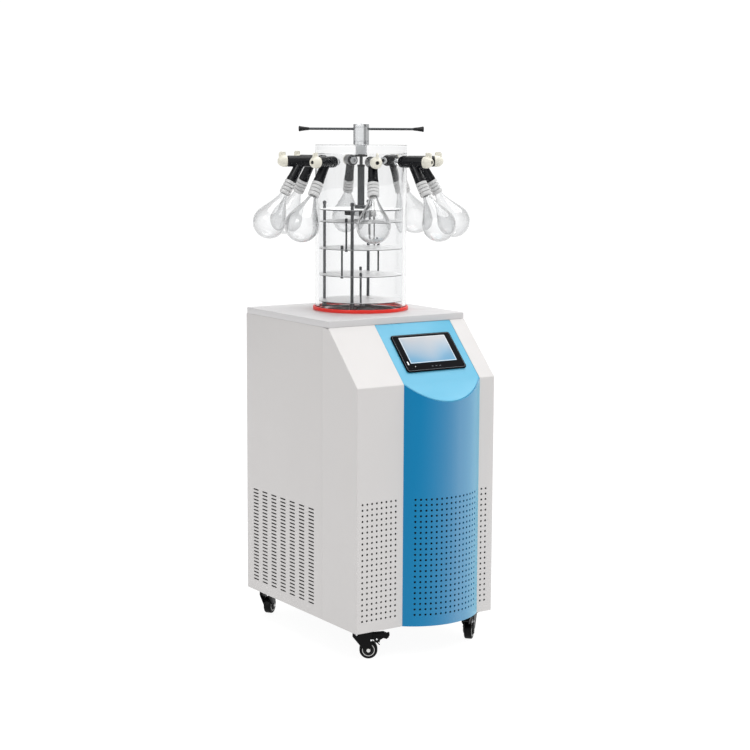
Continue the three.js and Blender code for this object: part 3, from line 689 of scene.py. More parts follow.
class Group(Nodes):
    """Shader group with named inputs and outputs, while it is made."""

    def __init__(self, name: str, inputs: dict[str, object], outputs: Sequence[str]) -> None:
        """Starts the group.

        Args:
            name: Its name.
            inputs: Default value of each input, a colour as four numbers.
            outputs: Name of each output. The one named Colour holds a colour.
        """
        super().__init__(bpy.data.node_groups.new(name, "ShaderNodeTree"))
        for title, value in inputs.items():
            kind = "NodeSocketFloat" if isinstance(value, float) else "NodeSocketColor"
            self.tree.interface.new_socket(title, in_out="INPUT", socket_type=kind).default_value = value
        for title in outputs:
            kind = "NodeSocketColor" if title == "Colour" else "NodeSocketFloat"
            self.tree.interface.new_socket(title, in_out="OUTPUT", socket_type=kind)
        self.given = self.tree.nodes.new("NodeGroupInput").outputs
        self.result = self.tree.nodes.new("NodeGroupOutput").inputs
        self.place = self.add("TexCoord").outputs["Object"]

    def give(self, **values: Socket) -> bpy.types.NodeTree:
        """Links the outputs.

        Args:
            values: The socket for each output, by its name.

        Returns:
            The finished group.
        """
        for title, value in values.items():
            self.link(value, self.result[title])
        return self.tree


def coat_group() -> bpy.types.NodeTree:
    """Powder coat: fine orange peel, slow changes of tone, and dust towards the floor.

    Returns:
        The group.
    """
    group = Group(
        "powder_coat",
        {"Colour": (0.8, 0.8, 0.8, 1.0), "Dust Colour": (0.6, 0.58, 0.55, 1.0), "Roughness": 0.45,
         "Tone": 0.03, "Grain Scale": 900.0, "Dust Height": 0.25, "Dust": 0.12},
        ("Colour", "Roughness", "Height"),
    )
    given, place = group.given, group.place
    slow = group.noise(place, 3.5, 3.0)
    cloud = group.noise(place, 22.0, 4.0, 0.6)
    grain = group.noise(place, given["Grain Scale"])
    darker = group.mix(1.0, given["Colour"], given["Dust Colour"])
    tone = group.math("MULTIPLY", group.band(slow, 0.35, 0.65, 0.0, 1.0), given["Tone"])
    toned = group.mix(tone, given["Colour"], darker)
    split = group.add("SeparateXYZ")
    group.link(place, split.inputs[0])
    low = group.band(split.outputs["Z"], 0.05, given["Dust Height"], 1.0, 0.0)
    patchy = group.math("MULTIPLY", low, group.band(cloud, 0.3, 0.75, 0.2, 1.0))
    dust = group.math("MULTIPLY", patchy, given["Dust"])
    worn = group.math("ADD", given["Roughness"], group.band(cloud, 0.3, 0.7, -0.05, 0.06))
    rough = group.math("ADD", worn, group.math("MULTIPLY", dust, 0.6), clamp=True)
    return group.give(Colour=group.mix(dust, toned, given["Dust Colour"]), Roughness=rough, Height=grain)


def brush_group() -> bpy.types.NodeTree:
    """Brushed metal: long fine streaks along one direction, with smudges in the gloss.

    Returns:
        The group.
    """
    group = Group(
        "brushed_metal",
        {"Colour": (0.7, 0.7, 0.7, 1.0), "Shade": (0.4, 0.4, 0.4, 1.0), "Roughness": 0.3,
         "Streak": 0.35, "Across": 900.0, "Along": 25.0},
        ("Colour", "Roughness", "Height"),
    )
    given, place = group.given, group.place
    across = given["Across"]
    stretch = group.fed(group.add("CombineXYZ"), {0: across, 1: across, 2: given["Along"]})
    scaled = group.fed(group.add("VectorMath", operation="MULTIPLY"), {0: place, 1: stretch})
    streak = group.noise(scaled, 1.0)
    smudge = group.noise(place, 30.0, 3.0, 0.6)
    share = group.math("MULTIPLY", group.band(streak, 0.3, 0.7, 0.0, 1.0), given["Streak"])
    gloss = group.math("ADD", given["Roughness"], group.band(smudge, 0.3, 0.7, -0.06, 0.1))
    return group.give(
        Colour=group.mix(share, given["Colour"], given["Shade"]),
        Roughness=group.math("MAXIMUM", gloss, 0.05), Height=streak,
    )


def mould_group() -> bpy.types.NodeTree:
    """Moulded plastic or rubber: fine spark grain, a little bloom and lint.

    Returns:
        The group.
    """
    group = Group(
        "moulded_skin",
        {"Colour": (0.1, 0.1, 0.1, 1.0), "Bloom": (0.3, 0.3, 0.3, 1.0), "Roughness": 0.5,
         "Bloom Amount": 0.12, "Grain Scale": 1500.0},
        ("Colour", "Roughness", "Height"),
    )
    given, place = group.given, group.place
    cloud = group.noise(place, 45.0, 4.0, 0.6)
    grain = group.noise(place, given["Grain Scale"], 3.0, 0.6)
    bloom = group.math("MULTIPLY", group.band(cloud, 0.42, 0.7, 0.0, 1.0), given["Bloom Amount"])
    rough = group.math("ADD", given["Roughness"], group.band(cloud, 0.3, 0.7, -0.06, 0.08))
    return group.give(
        Colour=group.mix(bloom, given["Colour"], given["Bloom"]),
        Roughness=group.math("MAXIMUM", rough, 0.05), Height=grain,
    )


def clear_group() -> bpy.types.NodeTree:
    """Clear wall: faint wiping marks in the gloss and a slow ripple in the surface.

    Returns:
        The group.
    """
    group = Group(
        "clear_wall", {"Roughness": 0.02, "Marks": 0.04, "Ripple Scale": 12.0}, ("Roughness", "Height")
    )
    given, place = group.given, group.place
    marks = group.noise(place, 60.0, 4.0, 0.65)
    ripple = group.noise(place, given["Ripple Scale"], 1.0)
    share = group.math("MULTIPLY", group.band(marks, 0.5, 0.75, 0.0, 1.0), given["Marks"])
    return group.give(Roughness=group.math("ADD", given["Roughness"], share), Height=ripple)


class Effect(Enum):
    """Shared shader groups, each with the function that makes it."""

    COAT = (coat_group,)
    BRUSH = (brush_group,)
    MOULD = (mould_group,)
    CLEAR = (clear_group,)


# ------------------------------ finishes
@dataclass(frozen=True)
class Finish:
    """What every finish has: a name, the record's slot, a bump depth in metres and a shared group.

    A field that is named like an input of the group feeds that input.
    """

    name: str
    slot: Slot
    depth: float

    effect = Effect.CLEAR

    def dress(self, nodes: Nodes, shader: Node) -> None:
        """Adds what only this kind of finish has."""

    def material(self, effects: dict[Effect, bpy.types.NodeTree]) -> bpy.types.Material:
        """Makes the material.

        Args:
            effects: The shared shader groups.

        Returns:
            The material.
        """
        material = bpy.data.materials.new(self.name)
        material.use_nodes = True
        nodes = Nodes(material.node_tree)
        shader = material.node_tree.nodes["Principled BSDF"]
        group = nodes.add("Group", node_tree=effects[self.effect])
        for socket in group.inputs:
            value = getattr(self, socket.name.lower().replace(" ", "_"), socket.default_value)
            socket.default_value = rgba(value) if isinstance(value, tuple) else value
        if "Colour" in group.outputs:
            nodes.link(group.outputs["Colour"], shader.inputs["Base Color"])
        nodes.link(group.outputs["Roughness"], shader.inputs["Roughness"])
        bump = nodes.add("Bump")
        bump.inputs["Strength"].default_value = 1.0
        bump.inputs["Distance"].default_value = self.depth
        nodes.link(group.outputs["Height"], bump.inputs["Height"])
        nodes.link(bump.outputs[0], shader.inputs["Normal"])
        self.dress(nodes, shader)
        return material


def set_inputs(shader: Node, **values: object) -> None:
    """Sets a shader's own sockets, each named with _ for the spaces."""
    for name, value in values.items():
        shader.inputs[name.replace("_", " ")].default_value = value


@dataclass(frozen=True)
class PowderCoat(Finish):
    """Painted sheet metal or satin-painted moulding."""

    colour: Colour
    dust_colour: Colour
    roughness: float
    tone: float
    dust: float = 0.1
    gloss: float = 0.5
    satin: float = 0.0

    effect = Effect.COAT

    def dress(self, nodes: Nodes, shader: Node) -> None:
        """Sets the gloss, and on a satin paint a coat and a sheen that lighten what faces away.

        Args:
            nodes: The material's nodes.
            shader: Its shader.
        """
        set_inputs(shader, Specular_IOR_Level=self.gloss)
        if self.satin > 0.0:
            set_inputs(
                shader, Coat_Roughness=0.3, Coat_IOR=2.0, Sheen_Weight=0.42, Sheen_Roughness=0.5,
                Sheen_Tint=(0.2, 0.95, 1.0, 1.0),
            )
            facing = nodes.add("LayerWeight")
            facing.inputs["Blend"].default_value = 0.5
            coat = nodes.band(facing.outputs["Facing"], 0.02, 0.3, 0.0, self.satin)
            nodes.link(coat, shader.inputs["Coat Weight"])


@dataclass(frozen=True)
class BrushedMetal(Finish):
    """Bare metal with a directional grain."""

    colour: Colour
    shade: Colour
    roughness: float
    streak: float
    across: float = 900.0
    along: float = 25.0

    effect = Effect.BRUSH

    def dress(self, nodes: Nodes, shader: Node) -> None:
        """Makes the shader a metal."""
        set_inputs(shader, Metallic=1.0)


@dataclass(frozen=True)
class Moulded(Finish):
    """Moulded plastic or rubber."""

    colour: Colour
    bloom: Colour
    roughness: float
    bloom_amount: float
    gloss: float = 0.5

    effect = Effect.MOULD

    def dress(self, nodes: Nodes, shader: Node) -> None:
        """Sets the gloss."""
        set_inputs(shader, Specular_IOR_Level=self.gloss)


@dataclass(frozen=True)
class Clear(Finish):
    """Glass or acrylic, with painted shade that darkens the wall where it is seen edge-on, that lets light
    through its shadow.
    """

    colour: Colour
    roughness: float
    marks: float
    ripple_scale: float
    index: float
    # Colour of the painted shade where the wall is seen edge-on, and how it fades in.
    edge: Colour
    blend: float

    def dress(self, nodes: Nodes, shader: Node) -> None:
        """Paints shade on the edges, where the wall is seen edge-on, and opens the shadows.

        Args:
            nodes: The material's nodes.
            shader: Its shader.
        """
        facing = nodes.add("LayerWeight")
        facing.inputs["Blend"].default_value = self.blend
        # Painted shade: the wall's colour darkens towards the edge colour where it is seen edge-on.
        edge_shade = nodes.mix(facing.outputs["Facing"], rgba(self.colour), rgba(self.edge))
        nodes.link(edge_shade, shader.inputs["Base Color"])
        set_inputs(shader, Transmission_Weight=1.0, IOR=self.index)
        open_shadow = nodes.fed(nodes.add("MixShader"), {
            0: nodes.add("LightPath").outputs["Is Shadow Ray"], 1: shader.outputs[0],
            2: nodes.add("BsdfTransparent").outputs[0],
        })
        nodes.link(open_shadow, nodes.tree.nodes["Material Output"].inputs["Surface"])


@dataclass(frozen=True)
class LitDisplay(Finish):
    """Lit display: a soft gradient up the slope."""

    node: str
    low: Colour = (0.13, 0.29, 0.43)
    high: Colour = (0.39, 0.4, 0.42)
    glow: float = 0.25
    roughness: float = 0.12
    marks: float = 0.1

    def dress(self, nodes: Nodes, shader: Node) -> None:
        """Lights the display between the lowest and the highest point of its CAD node.

        Args:
            nodes: The material's nodes.
            shader: Its shader.
        """
        bottom, top = corners(self.node)
        place = nodes.add("TexCoord").outputs["Object"]
        split = nodes.add("SeparateXYZ")
        nodes.link(place, split.inputs[0])
        rise = nodes.band(split.outputs["Z"], bottom.z, top.z, 0.0, 1.0)
        wave = nodes.band(nodes.noise(place, 9.0, 1.0), 0.3, 0.7, -0.3, 0.3)
        picture = nodes.mix(nodes.math("ADD", rise, wave, clamp=True), rgba(self.low), rgba(self.high))
        for name in ("Base Color", "Emission Color"):
            nodes.link(picture, shader.inputs[name])
        set_inputs(shader, Emission_Strength=self.glow, Specular_IOR_Level=0.15)


class Look(Enum):
    """The finishes of the machine."""

    PANEL = PowderCoat("panel_paint", Slot.PANEL, 3e-5, (0.61, 0.593, 0.586), (0.5, 0.485, 0.475), 0.4, 0.05)
    WORKTOP = PowderCoat(
        "worktop_paint", Slot.WORKTOP, 3e-5, (0.595, 0.585, 0.59), (0.5, 0.49, 0.49), 0.38, 0.05)
    COVER = PowderCoat(
        "cover_paint", Slot.COVER, 3e-5, (0.004, 0.19, 0.41), (0.03, 0.22, 0.41), 0.4, 0.03, 0.03, 0.08, 1.0)
    CONSOLE = PowderCoat(
        "console_paint", Slot.CONSOLE, 3e-5, (0.085, 0.4, 0.59), (0.12, 0.385, 0.53), 0.36, 0.05, 0.0)
    SCREEN = Moulded(
        "screen_plastic", Slot.SCREEN, 4e-6, (0.003, 0.003, 0.004), (0.008, 0.008, 0.01), 0.2, 0.2, 0.02)
    LAMP = Moulded("lamp_plastic", Slot.SCREEN, 4e-6, (0.85, 0.87, 0.86), (0.95, 0.95, 0.95), 0.3, 0.2)
    MARK = Moulded("mark_print", Slot.SCREEN, 4e-6, (0.16, 0.18, 0.2), (0.22, 0.24, 0.26), 0.4, 0.2)
    BORDER = Moulded("display_border", Slot.DISPLAY, 4e-6, (0.75, 0.78, 0.8), (0.85, 0.87, 0.88), 0.3, 0.2)
    DISPLAY = LitDisplay("display_picture", Slot.DISPLAY, 2e-6, "display_glass")
    STEEL = BrushedMetal("brushed_steel", Slot.STEEL, 1e-5, (0.78, 0.79, 0.8), (0.6, 0.61, 0.62), 0.3, 0.35)
    # Painted reflection: the polished steel shelves and platen get a near-white paint that stands for their
    # reflection of the white room.
    SHELF = PowderCoat("shelf_steel", Slot.SHELF, 1e-5, (0.94, 0.94, 0.94), (0.8, 0.8, 0.8), 0.3, 0.04, 0.0)
    DARK = BrushedMetal(
        "dark_steel", Slot.DARK_STEEL, 1e-5, (0.075, 0.078, 0.082), (0.042, 0.045, 0.048), 0.36, 0.4)
    ALUMINIUM = BrushedMetal(
        "turned_aluminium", Slot.ALUMINIUM, 1e-5, (0.68, 0.69, 0.7),
        (0.42, 0.43, 0.44), 0.24, 0.45, 60.0, 2500.0)
    SCREW = BrushedMetal("zinc_screws", Slot.STEEL, 5e-6, (0.55, 0.56, 0.57), (0.3, 0.31, 0.32), 0.34, 0.4)
    PLASTIC = Moulded(
        "black_plastic", Slot.BLACK_PLASTIC, 3e-5, (0.007, 0.007, 0.008),
        (0.03, 0.03, 0.032), 0.4, 0.25, 0.25)
    CASTER = PowderCoat(
        "caster_paint", Slot.CASTER, 4e-5, (0.002, 0.002, 0.0025),
        (0.012, 0.0115, 0.011), 0.34, 0.06, 0.06, 0.1)
    TYRE = Moulded(
        "wheel_rubber", Slot.WHEEL, 5e-5, (0.003, 0.003, 0.0035), (0.012, 0.012, 0.011), 0.45, 0.3, 0.1)
    CAP = Moulded("wheel_trim", Slot.KNOB, 1e-5, (0.72, 0.72, 0.7), (0.8, 0.8, 0.78), 0.4, 0.2)
    VALVE = Moulded(
        "valve_rubber", Slot.VALVE, 3e-5, (0.003, 0.0035, 0.005), (0.014, 0.014, 0.016), 0.27, 0.2, 0.22)
    GASKET = Moulded("gasket_silicone", Slot.GASKET, 3e-5, (0.84, 0.02, 0.01), (0.84, 0.06, 0.04), 0.4, 0.12)
    RING = Moulded("neck_ring", Slot.VALVE, 3e-5, (0.6, 0.6, 0.6), (0.66, 0.66, 0.66), 0.36, 0.2)
    KNOB = Moulded("knob_plastic", Slot.KNOB, 2e-5, (0.74, 0.715, 0.62), (0.9, 0.88, 0.8), 0.34, 0.12)
    # Acrylic and glass: the second colour of each is the painted shade where its wall is seen edge-on.
    ACRYLIC = Clear(
        "acrylic_sheet", Slot.ACRYLIC, 2e-5, (0.922, 0.924, 0.926),
        0.01, 0.03, 9.0, 1.27, (0.7, 0.71, 0.72), 0.25)
    GLASS = Clear(
        "flask_glass", Slot.FLASK, 3e-5, (0.925, 0.928, 0.931),
        0.0, 0.02, 30.0, 1.47, (0.08, 0.085, 0.09), 0.17)
    # Painted shade: near-black finish of the sheets behind the holes, which stand for the dark inside of the
    # cabinet.
    INSIDE = Moulded(
        "cabinet_inside", Slot.BLACK_PLASTIC, 2e-5, (0.002, 0.002, 0.002), (0.004, 0.004, 0.004), 0.9, 0.1)


# ------------------------------ workshop and layout
class Workshop:
    """Turns meshes into pieces of the machine."""

    def __init__(self, record: dict) -> None:
        """Makes the materials and looks up which body each CAD node belongs to.

        Args:
            record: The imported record.
        """
        effects = {effect: effect.value[0]() for effect in Effect}
        self.materials = {look: look.value.material(effects) for look in Look}
        behaviour = record["behaviour"]
        self.joints = {joint["name"]: joint for joint in behaviour["joints"]}
        self.body_of_node = {node: body for body, nodes in behaviour["bodies"].items() for node in nodes}

    def pivot(self, joint: str) -> Vector:
        """Point on a joint's axis."""
        return Vector(self.joints[joint]["pos_m"])

    def piece(self, name: str, form: Form, look: Look, node: str, sharp: float = 32.0) -> None:
        """Makes one piece and reports it.

        Args:
            name: Its name.
            form: Its mesh, in place. It is freed.
            look: Its finish.
            node: CAD node that it stands for, and on whose body it rides.
            sharp: Angle above which an edge shades as a corner, in degrees.
        """
        mesh = stored(name, form)
        mesh.shade_smooth()
        mesh.set_sharp_from_angle(angle=math.radians(sharp))
        mesh.materials.append(self.materials[look])
        piece = linked(name, mesh)
        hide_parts(node)
        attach(piece, self.body_of_node[node])
        log.info("%s stands for %s", name, node)


@dataclass(frozen=True)
class Layout:
    """Where the main planes and axes of the CAD frame lie."""

    left: float
    right: float
    front: float
    back: float
    bottom: float
    panel_top: float
    worktop: float
    axis: Vector

    @classmethod
    def measured(cls) -> Layout:
        """Reads the places from the CAD nodes.

        Returns:
            The layout.
        """
        shell_low, shell_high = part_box("front_shell")
        back_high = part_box("back_panel")[1]
        tube_low, tube_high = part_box("chamber_tube")
        axis = Vector(((tube_low[0] + tube_high[0]) / 2, (tube_low[1] + tube_high[1]) / 2, 0.0))
        return cls(
            shell_low[0], shell_high[0], shell_low[1], back_high[1], shell_low[2], shell_high[2],
            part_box("worktop")[1][2], axis,
        )

    @property
    def chamber(self) -> Matrix:
        """Place of the chamber: its axis, at the height of the worktop."""
        return shift(self.axis.x, self.axis.y, self.worktop)

    @property
    def corner(self) -> Matrix:
        """Place of the cabinet: its lowest corner, at the front left."""
        return shift(self.left, self.front, self.bottom)


@dataclass
class Assembly:
    """What every sub-assembly has: the workshop that takes its pieces, and the layout."""

    shop: Workshop
    layout: Layout

    @property
    def place(self) -> Matrix:
        """Frame that its meshes are drawn in, which is the chamber's unless it says otherwise."""
        return self.layout.chamber

    def add(self, name: str, form: Form, look: Look, node: str, sharp: float = 32.0) -> None:
        """Adds a piece that is drawn in the sub-assembly's own frame."""
        self.shop.piece(name, moved(form, self.place), look, node, sharp)

    def build(self) -> None:
        """Makes every piece."""
        raise NotImplementedError


# ------------------------------ cabinet
@dataclass(frozen=True)
class Fold:
    """Side view of the folded front: an upright, a bend, and the slope. Its angles are in radians."""

    upright: float = 0.674
    rise: float = 0.149
    run: float = 0.146
    bend: float = 0.006

    @property
    def angle(self) -> float:
        """Slope above horizontal."""
        return math.atan2(self.rise, self.run)

    @property
    def turn(self) -> float:
        """Angle through which the sheet is bent."""
        return math.pi / 2 - self.angle

    @property
    def bend_start(self) -> float:
        """Where the bend starts, along the flat sheet."""
        return self.upright - self.bend * math.tan(self.turn / 2)

    @property
    def bend_stop(self) -> float:
        """Where it stops."""
        return self.bend_start + self.bend * self.turn

    @property
    def length(self) -> float:
        """Length of the flat sheet."""
        return self.bend_stop + math.hypot(self.rise, self.run) - self.bend * math.tan(self.turn / 2)

    @property
    def creases(self) -> list[float]:
        """Where the flat sheet is creased to follow the bend."""
        return [self.bend_start + self.bend * self.turn * k / 5 for k in range(6)]

    def place(self, along_sheet: float, depth: float) -> Point:
        """Depth and height of a point.

        Args:
            along_sheet: How far up the flat sheet.
            depth: How far behind its outer face.

        Returns:
            How far behind the front plane, and how high.
        """
        if along_sheet <= self.bend_start:
            return depth, along_sheet
        angle = min(along_sheet - self.bend_start, self.bend * self.turn) / self.bend
        reach = self.bend - depth
        y = self.bend - reach * math.cos(angle)
        z = self.bend_start + reach * math.sin(angle)
        further = max(0.0, along_sheet - self.bend_stop)
        return y + further * math.sin(self.turn), z + further * math.cos(self.turn)

    def slope_height(self, y: float, lower: float = 0.0) -> float:
        """Height of the slope plane at a depth, lowered by an offset across it."""
        return self.upright + y * math.tan(self.angle) - lower / math.cos(self.angle)


@dataclass(frozen=True)
class Bulge:
    """Plan of the bulged cover, from the cabinet's front left corner. Its angles are in radians."""

    left: float = 0.151
    right: float = 0.408
    proud: float = 0.049

    @property
    def middle(self) -> float:
        """Its middle, from the left side of the cabinet."""
        return (self.left + self.right) / 2

    @property
    def radius(self) -> float:
        """Radius of its arc."""
        half = (self.right - self.left) / 2
        return (half**2 + self.proud**2) / (2 * self.proud)

    @property
    def half_angle(self) -> float:
        """Half of the angle that the arc takes."""
        return math.asin((self.right - self.left) / 2 / self.radius)

    def place(self, angle: float, inset: float = 0.0) -> Point:
        """Point of the arc, at an angle from its middle and an inset from its outer face."""
        radius, centre = self.radius - inset, self.radius - self.proud
        return self.middle + radius * math.sin(angle), centre - radius * math.cos(angle)


def crease(form: Form, value: float, across: Vector) -> None:
    """Splits a flat sheet along a straight line, at a distance and in the direction across it."""
    parts = form.verts[:] + form.edges[:] + form.faces[:]
    bmesh.ops.bisect_plane(form, geom=parts, dist=1e-7, plane_co=across * value, plane_no=across)


@dataclass
class Cabinet(Assembly):
    """Folded and punched sheet metal of the cabinet."""

    fold: Fold = Fold()
    bulge: Bulge = Bulge()
    sheet: float = 0.002
    cover_sheet: float = 0.003
    corner: float = 0.003
    wrap: float = 0.176
    gap: float = 0.0004
    hole: float = 0.00325
    first_row: float = 0.033
    row_pitch: float = 0.01543
    rows: int = 22
    # Lowest and highest edge of the black sheets of painted shade behind the holes.
    liner_low: float = 0.02
    liner_high: float = 0.372
    right_angle: float = 57.0

    @property
    def place(self) -> Matrix:
        """Its lowest corner, at the front left."""
        return self.layout.corner

    @property
    def width(self) -> float:
        """Width of the cabinet."""
        return self.layout.right - self.layout.left

    @property
    def depth(self) -> float:
        """Depth of the cabinet."""
        return self.layout.back - self.layout.front

    @property
    def height(self) -> float:
        """Height of the side panels."""
        return self.layout.panel_top - self.layout.bottom

    def build(self) -> None:
        """Makes every sheet."""
        self._front()
        self._cover()
        self._side("side_panel_left", Side.LEFT, self._side_slots())
        self._side("side_panel_right", Side.RIGHT, [])
        self._back()
        self._worktop()
        self._base()
        self._liners()

    def _punched(self, columns: Iterable[float]) -> list[Hole]:
        """Round holes in rows, at several places across a sheet."""
        heights = [self.first_row + self.row_pitch * row for row in range(self.rows)]
        return [Hole(x, z, self.hole) for x in columns for z in heights]

    def _front(self) -> None:
        """Front sheet: two punched strips beside the cover, folded to the slope and round both corners."""
        wrap = math.pi / 2 * self.corner
        flat = self.width - 2 * self.corner
        extra = wrap - self.corner
        columns = [0.0185 + 0.0155 * k for k in range(8)] + [0.419, 0.434]
        left, right = self.bulge.left + extra, self.bulge.right + extra
        notch, top, end = self.fold.upright - 0.012, self.fold.length, flat + 2 * wrap
        outline = [(0, 0), (end, 0), (end, top), (right, top), (right, notch), (left, notch), (left, top),
                   (0, top)]
        form = punched_sheet(outline, self._punched(x + extra for x in columns))
        for x in [x for k in range(1, 5) for x in (wrap * k / 4, end - wrap * k / 4)]:
            crease(form, x, Vector((1, 0, 0)))
        for y in self.fold.creases:
            crease(form, y, Vector((0, 1, 0)))
        for x in (left, right):
            crease(form, x, Vector((1, 0, 0)))
        for vert in form.verts:
            x, depth = self._round_corner(vert.co.x, wrap, flat)
            vert.co = (x, *self.fold.place(vert.co.y, depth))
        thickened(form, self.sheet)
        shell = merged(form, self._flange(Side.LEFT), self._flange(Side.RIGHT))
        self.add("front_sheet", shell, Look.PANEL, "front_shell")

    def _round_corner(self, across: float, wrap: float, flat: float) -> Point:
        """Bends the sheet round the cabinet's corners.

        Args:
            across: Place across the flat sheet.
            wrap: Length of sheet that one bend takes.
            flat: Length between the bends.

        Returns:
            The place across the cabinet, and the depth behind the front face.
        """
        radius = self.corner
        before, after = wrap - across, across - wrap - flat
        angle = max(before, after) / radius
        depth = radius - radius * math.cos(angle)
        if before > 0:
            return radius - radius * math.sin(angle), depth
        if after > 0:
            return self.width - radius + radius * math.sin(angle), depth
        return radius + across - wrap, 0.0

    def _flange(self, side: Side) -> Form:
        """Side flange of the front sheet, from its corner bend to the side panel."""
        edge = [self.fold.place(s, self.corner) for s in [0.0, *self.fold.creases, self.fold.length]]
        return self._upright_sheet([(self.wrap, 0.0), (self.wrap, self.height), *reversed(edge)], [], side)

    def _upright_sheet(self, outline: Sequence[Point], holes: Sequence[Hole], side: Side) -> Form:
        """Stands a sheet on one side of the cabinet.

        Args:
            outline: Depth and height of its corners.
            holes: Its holes.
            side: Which side.

        Returns:
            The sheet, in the cabinet's own frame.
        """
        way = side.value
        form = thickened(punched_sheet([(way * y, z) for y, z in outline], holes), self.sheet)
        x = 0.0 if side is Side.LEFT else self.width
        return moved(form, basis((0, way, 0), (0, 0, 1), (way, 0, 0), (x, 0, 0)))

    def _side_slots(self) -> list[Hole]:
        """Slots of the left side panel, seven columns of short slots with round ends.

        Returns:
            The slots.
        """
        column_pitch, row_pitch = 0.0515, 0.0104
        return [
            Hole(-(self.depth - column_pitch - column_pitch * column), 0.035 + row_pitch * row, 0.00225,
                 0.0255)
            for column in range(7) for row in range(27)
        ]

    def _side(self, name: str, side: Side, holes: Sequence[Hole]) -> None:
        """Flat side panel.

        Args:
            name: Its CAD node.
            side: Which side.
            holes: Its holes.
        """
        start = self.wrap + self.gap
        outline = [(start, 0.0), (self.depth, 0.0), (self.depth, self.height), (start, self.height)]
        form = soften(self._upright_sheet(outline, holes, side), 0.0006, 2, self.right_angle, 0.05)
        self.add(name + "_sheet", form, Look.PANEL, name)

    def _cover(self) -> None:
        """Bulged cover: a punched sheet bent to its arc, cut off along the slope."""
        bulge, steps = self.bulge, 48
        half = bulge.radius * bulge.half_angle
        angles = [bulge.half_angle * (1 - 2 * k / steps) for k in range(steps + 1)]
        outline = [(-half, 0.0), (half, 0.0)]
        outline += [(bulge.radius * a, self.fold.slope_height(bulge.place(a)[1])) for a in angles]
        form = punched_sheet(outline, self._punched(0.034 + 0.0152 * k - half for k in range(15)))
        for angle in angles[1:-1]:
            crease(form, bulge.radius * angle, Vector((1, 0, 0)))
        for vert in form.verts:
            vert.co = (*bulge.place(vert.co.x / bulge.radius), vert.co.y)
        self.add("cover_sheet", thickened(form, self.cover_sheet), Look.COVER, "front_cover", 40.0)

    def _back(self) -> None:
        """Back panel with its screws."""
        low, high = corners("back_panel")
        port = sum(corners("vacuum_port"), Vector()) / 2
        inlet_low, inlet_high = corners("power_inlet")
        outline = [(-high.x, low.z), (-low.x, low.z), (-low.x, high.z), (-high.x, high.z)]
        form = thickened(punched_sheet(outline, [Hole(-port.x, port.z, 0.0149, 0.0, 48)]), self.sheet)
        moved(form, on_back(0, high.y, 0))
        flange, past = 0.0047, 0.01
        opening = block(
            (inlet_low.x + flange, low.y - past, inlet_low.z + flange),
            (inlet_high.x - flange, high.y + past, inlet_high.z - flange),
        )
        form = soften(combined(form, opening, Operation.CUT), 0.0005, 2, self.right_angle, 0.03)
        self.shop.piece("back_sheet", form, Look.PANEL, "back_panel")
        heights = (low.z + 0.02, low.z + 0.28, low.z + 0.54, high.z - 0.02)
        places = [on_back(x, high.y, z) for x in (low.x + 0.012, high.x - 0.012) for z in heights]
        self.shop.piece("back_screws", copies(button_head(0.0035), places), Look.SCREW, "back_panel")

    def _worktop(self) -> None:
        """Worktop: a thick board with round edges and the mouth of the cold trap."""
        low, high = corners("worktop")
        mouth = self.layout.axis - Vector((low.x, low.y, 0))
        outline = rounded_outline(high.x - low.x, high.y - low.y, 0.006)
        form = thickened(punched_sheet(outline, [Hole(mouth.x, mouth.y, 0.1025, 0.0, 96)]), high.z - low.z)
        board = moved(soften(form, 0.0022, 3, 50.0), shift(low.x, low.y, high.z))
        self.shop.piece("worktop_board", board, Look.WORKTOP, "worktop")

    def _base(self) -> None:
        """Base plate, with a bolted mounting plate over each caster."""
        low, high = corners("base_plate")
        plate = soften(block((low.x, low.y, low.z + 0.003), (high.x, high.y, high.z)), 0.0008)
        size, bolt = 0.058, 0.024
        joints = [self.shop.pivot(f"caster_{corner.value}_swivel") for corner in Corner]
        pads = [shift(joint.x - size / 2, joint.y - size / 2, low.z) for joint in joints]
        bolts = [
            shift(joint.x + dx, joint.y + dy, low.z) @ BOTH_ENDS[1]
            for joint in joints for dx in (-bolt, bolt) for dy in (-bolt, bolt)
        ]
        pad = Plate(size, size, 0.006, 0.0035, edge=0.0006).form()
        self.shop.piece("base_sheet", merged(plate, copies(pad, pads)), Look.DARK, "base_plate")
        self.shop.piece("caster_bolts", copies(button_head(0.004, 0.0009), bolts), Look.SCREW, "base_plate")

    def _liners(self) -> None:
        """Black sheets close behind the holes of the strips, the cover and the left side: painted shade that
        stands for the dark inside of the cabinet.
        """
        low, high = self.liner_low, self.liner_high
        near, far = 0.0036, 0.0046
        flat = [
            block((0.006, near, low), (0.145, far, high)), block((0.4095, near, low), (0.453, far, high)),
            block((near, 0.2, low), (far, self.depth - 0.03, 0.325)),
        ]
        band = []
        for inset, way in ((0.0046, 1), (0.0056, -1)):
            limit = way * 0.93 * self.bulge.half_angle
            band += [self.bulge.place(limit * (k / 20 - 1), inset) for k in range(41)]
        self.add("strip_liners", merged(*flat), Look.INSIDE, "front_shell")
        self.add("cover_liner", moved(extruded(band, high - low), shift(0, 0, low)), Look.INSIDE,
                 "front_cover")


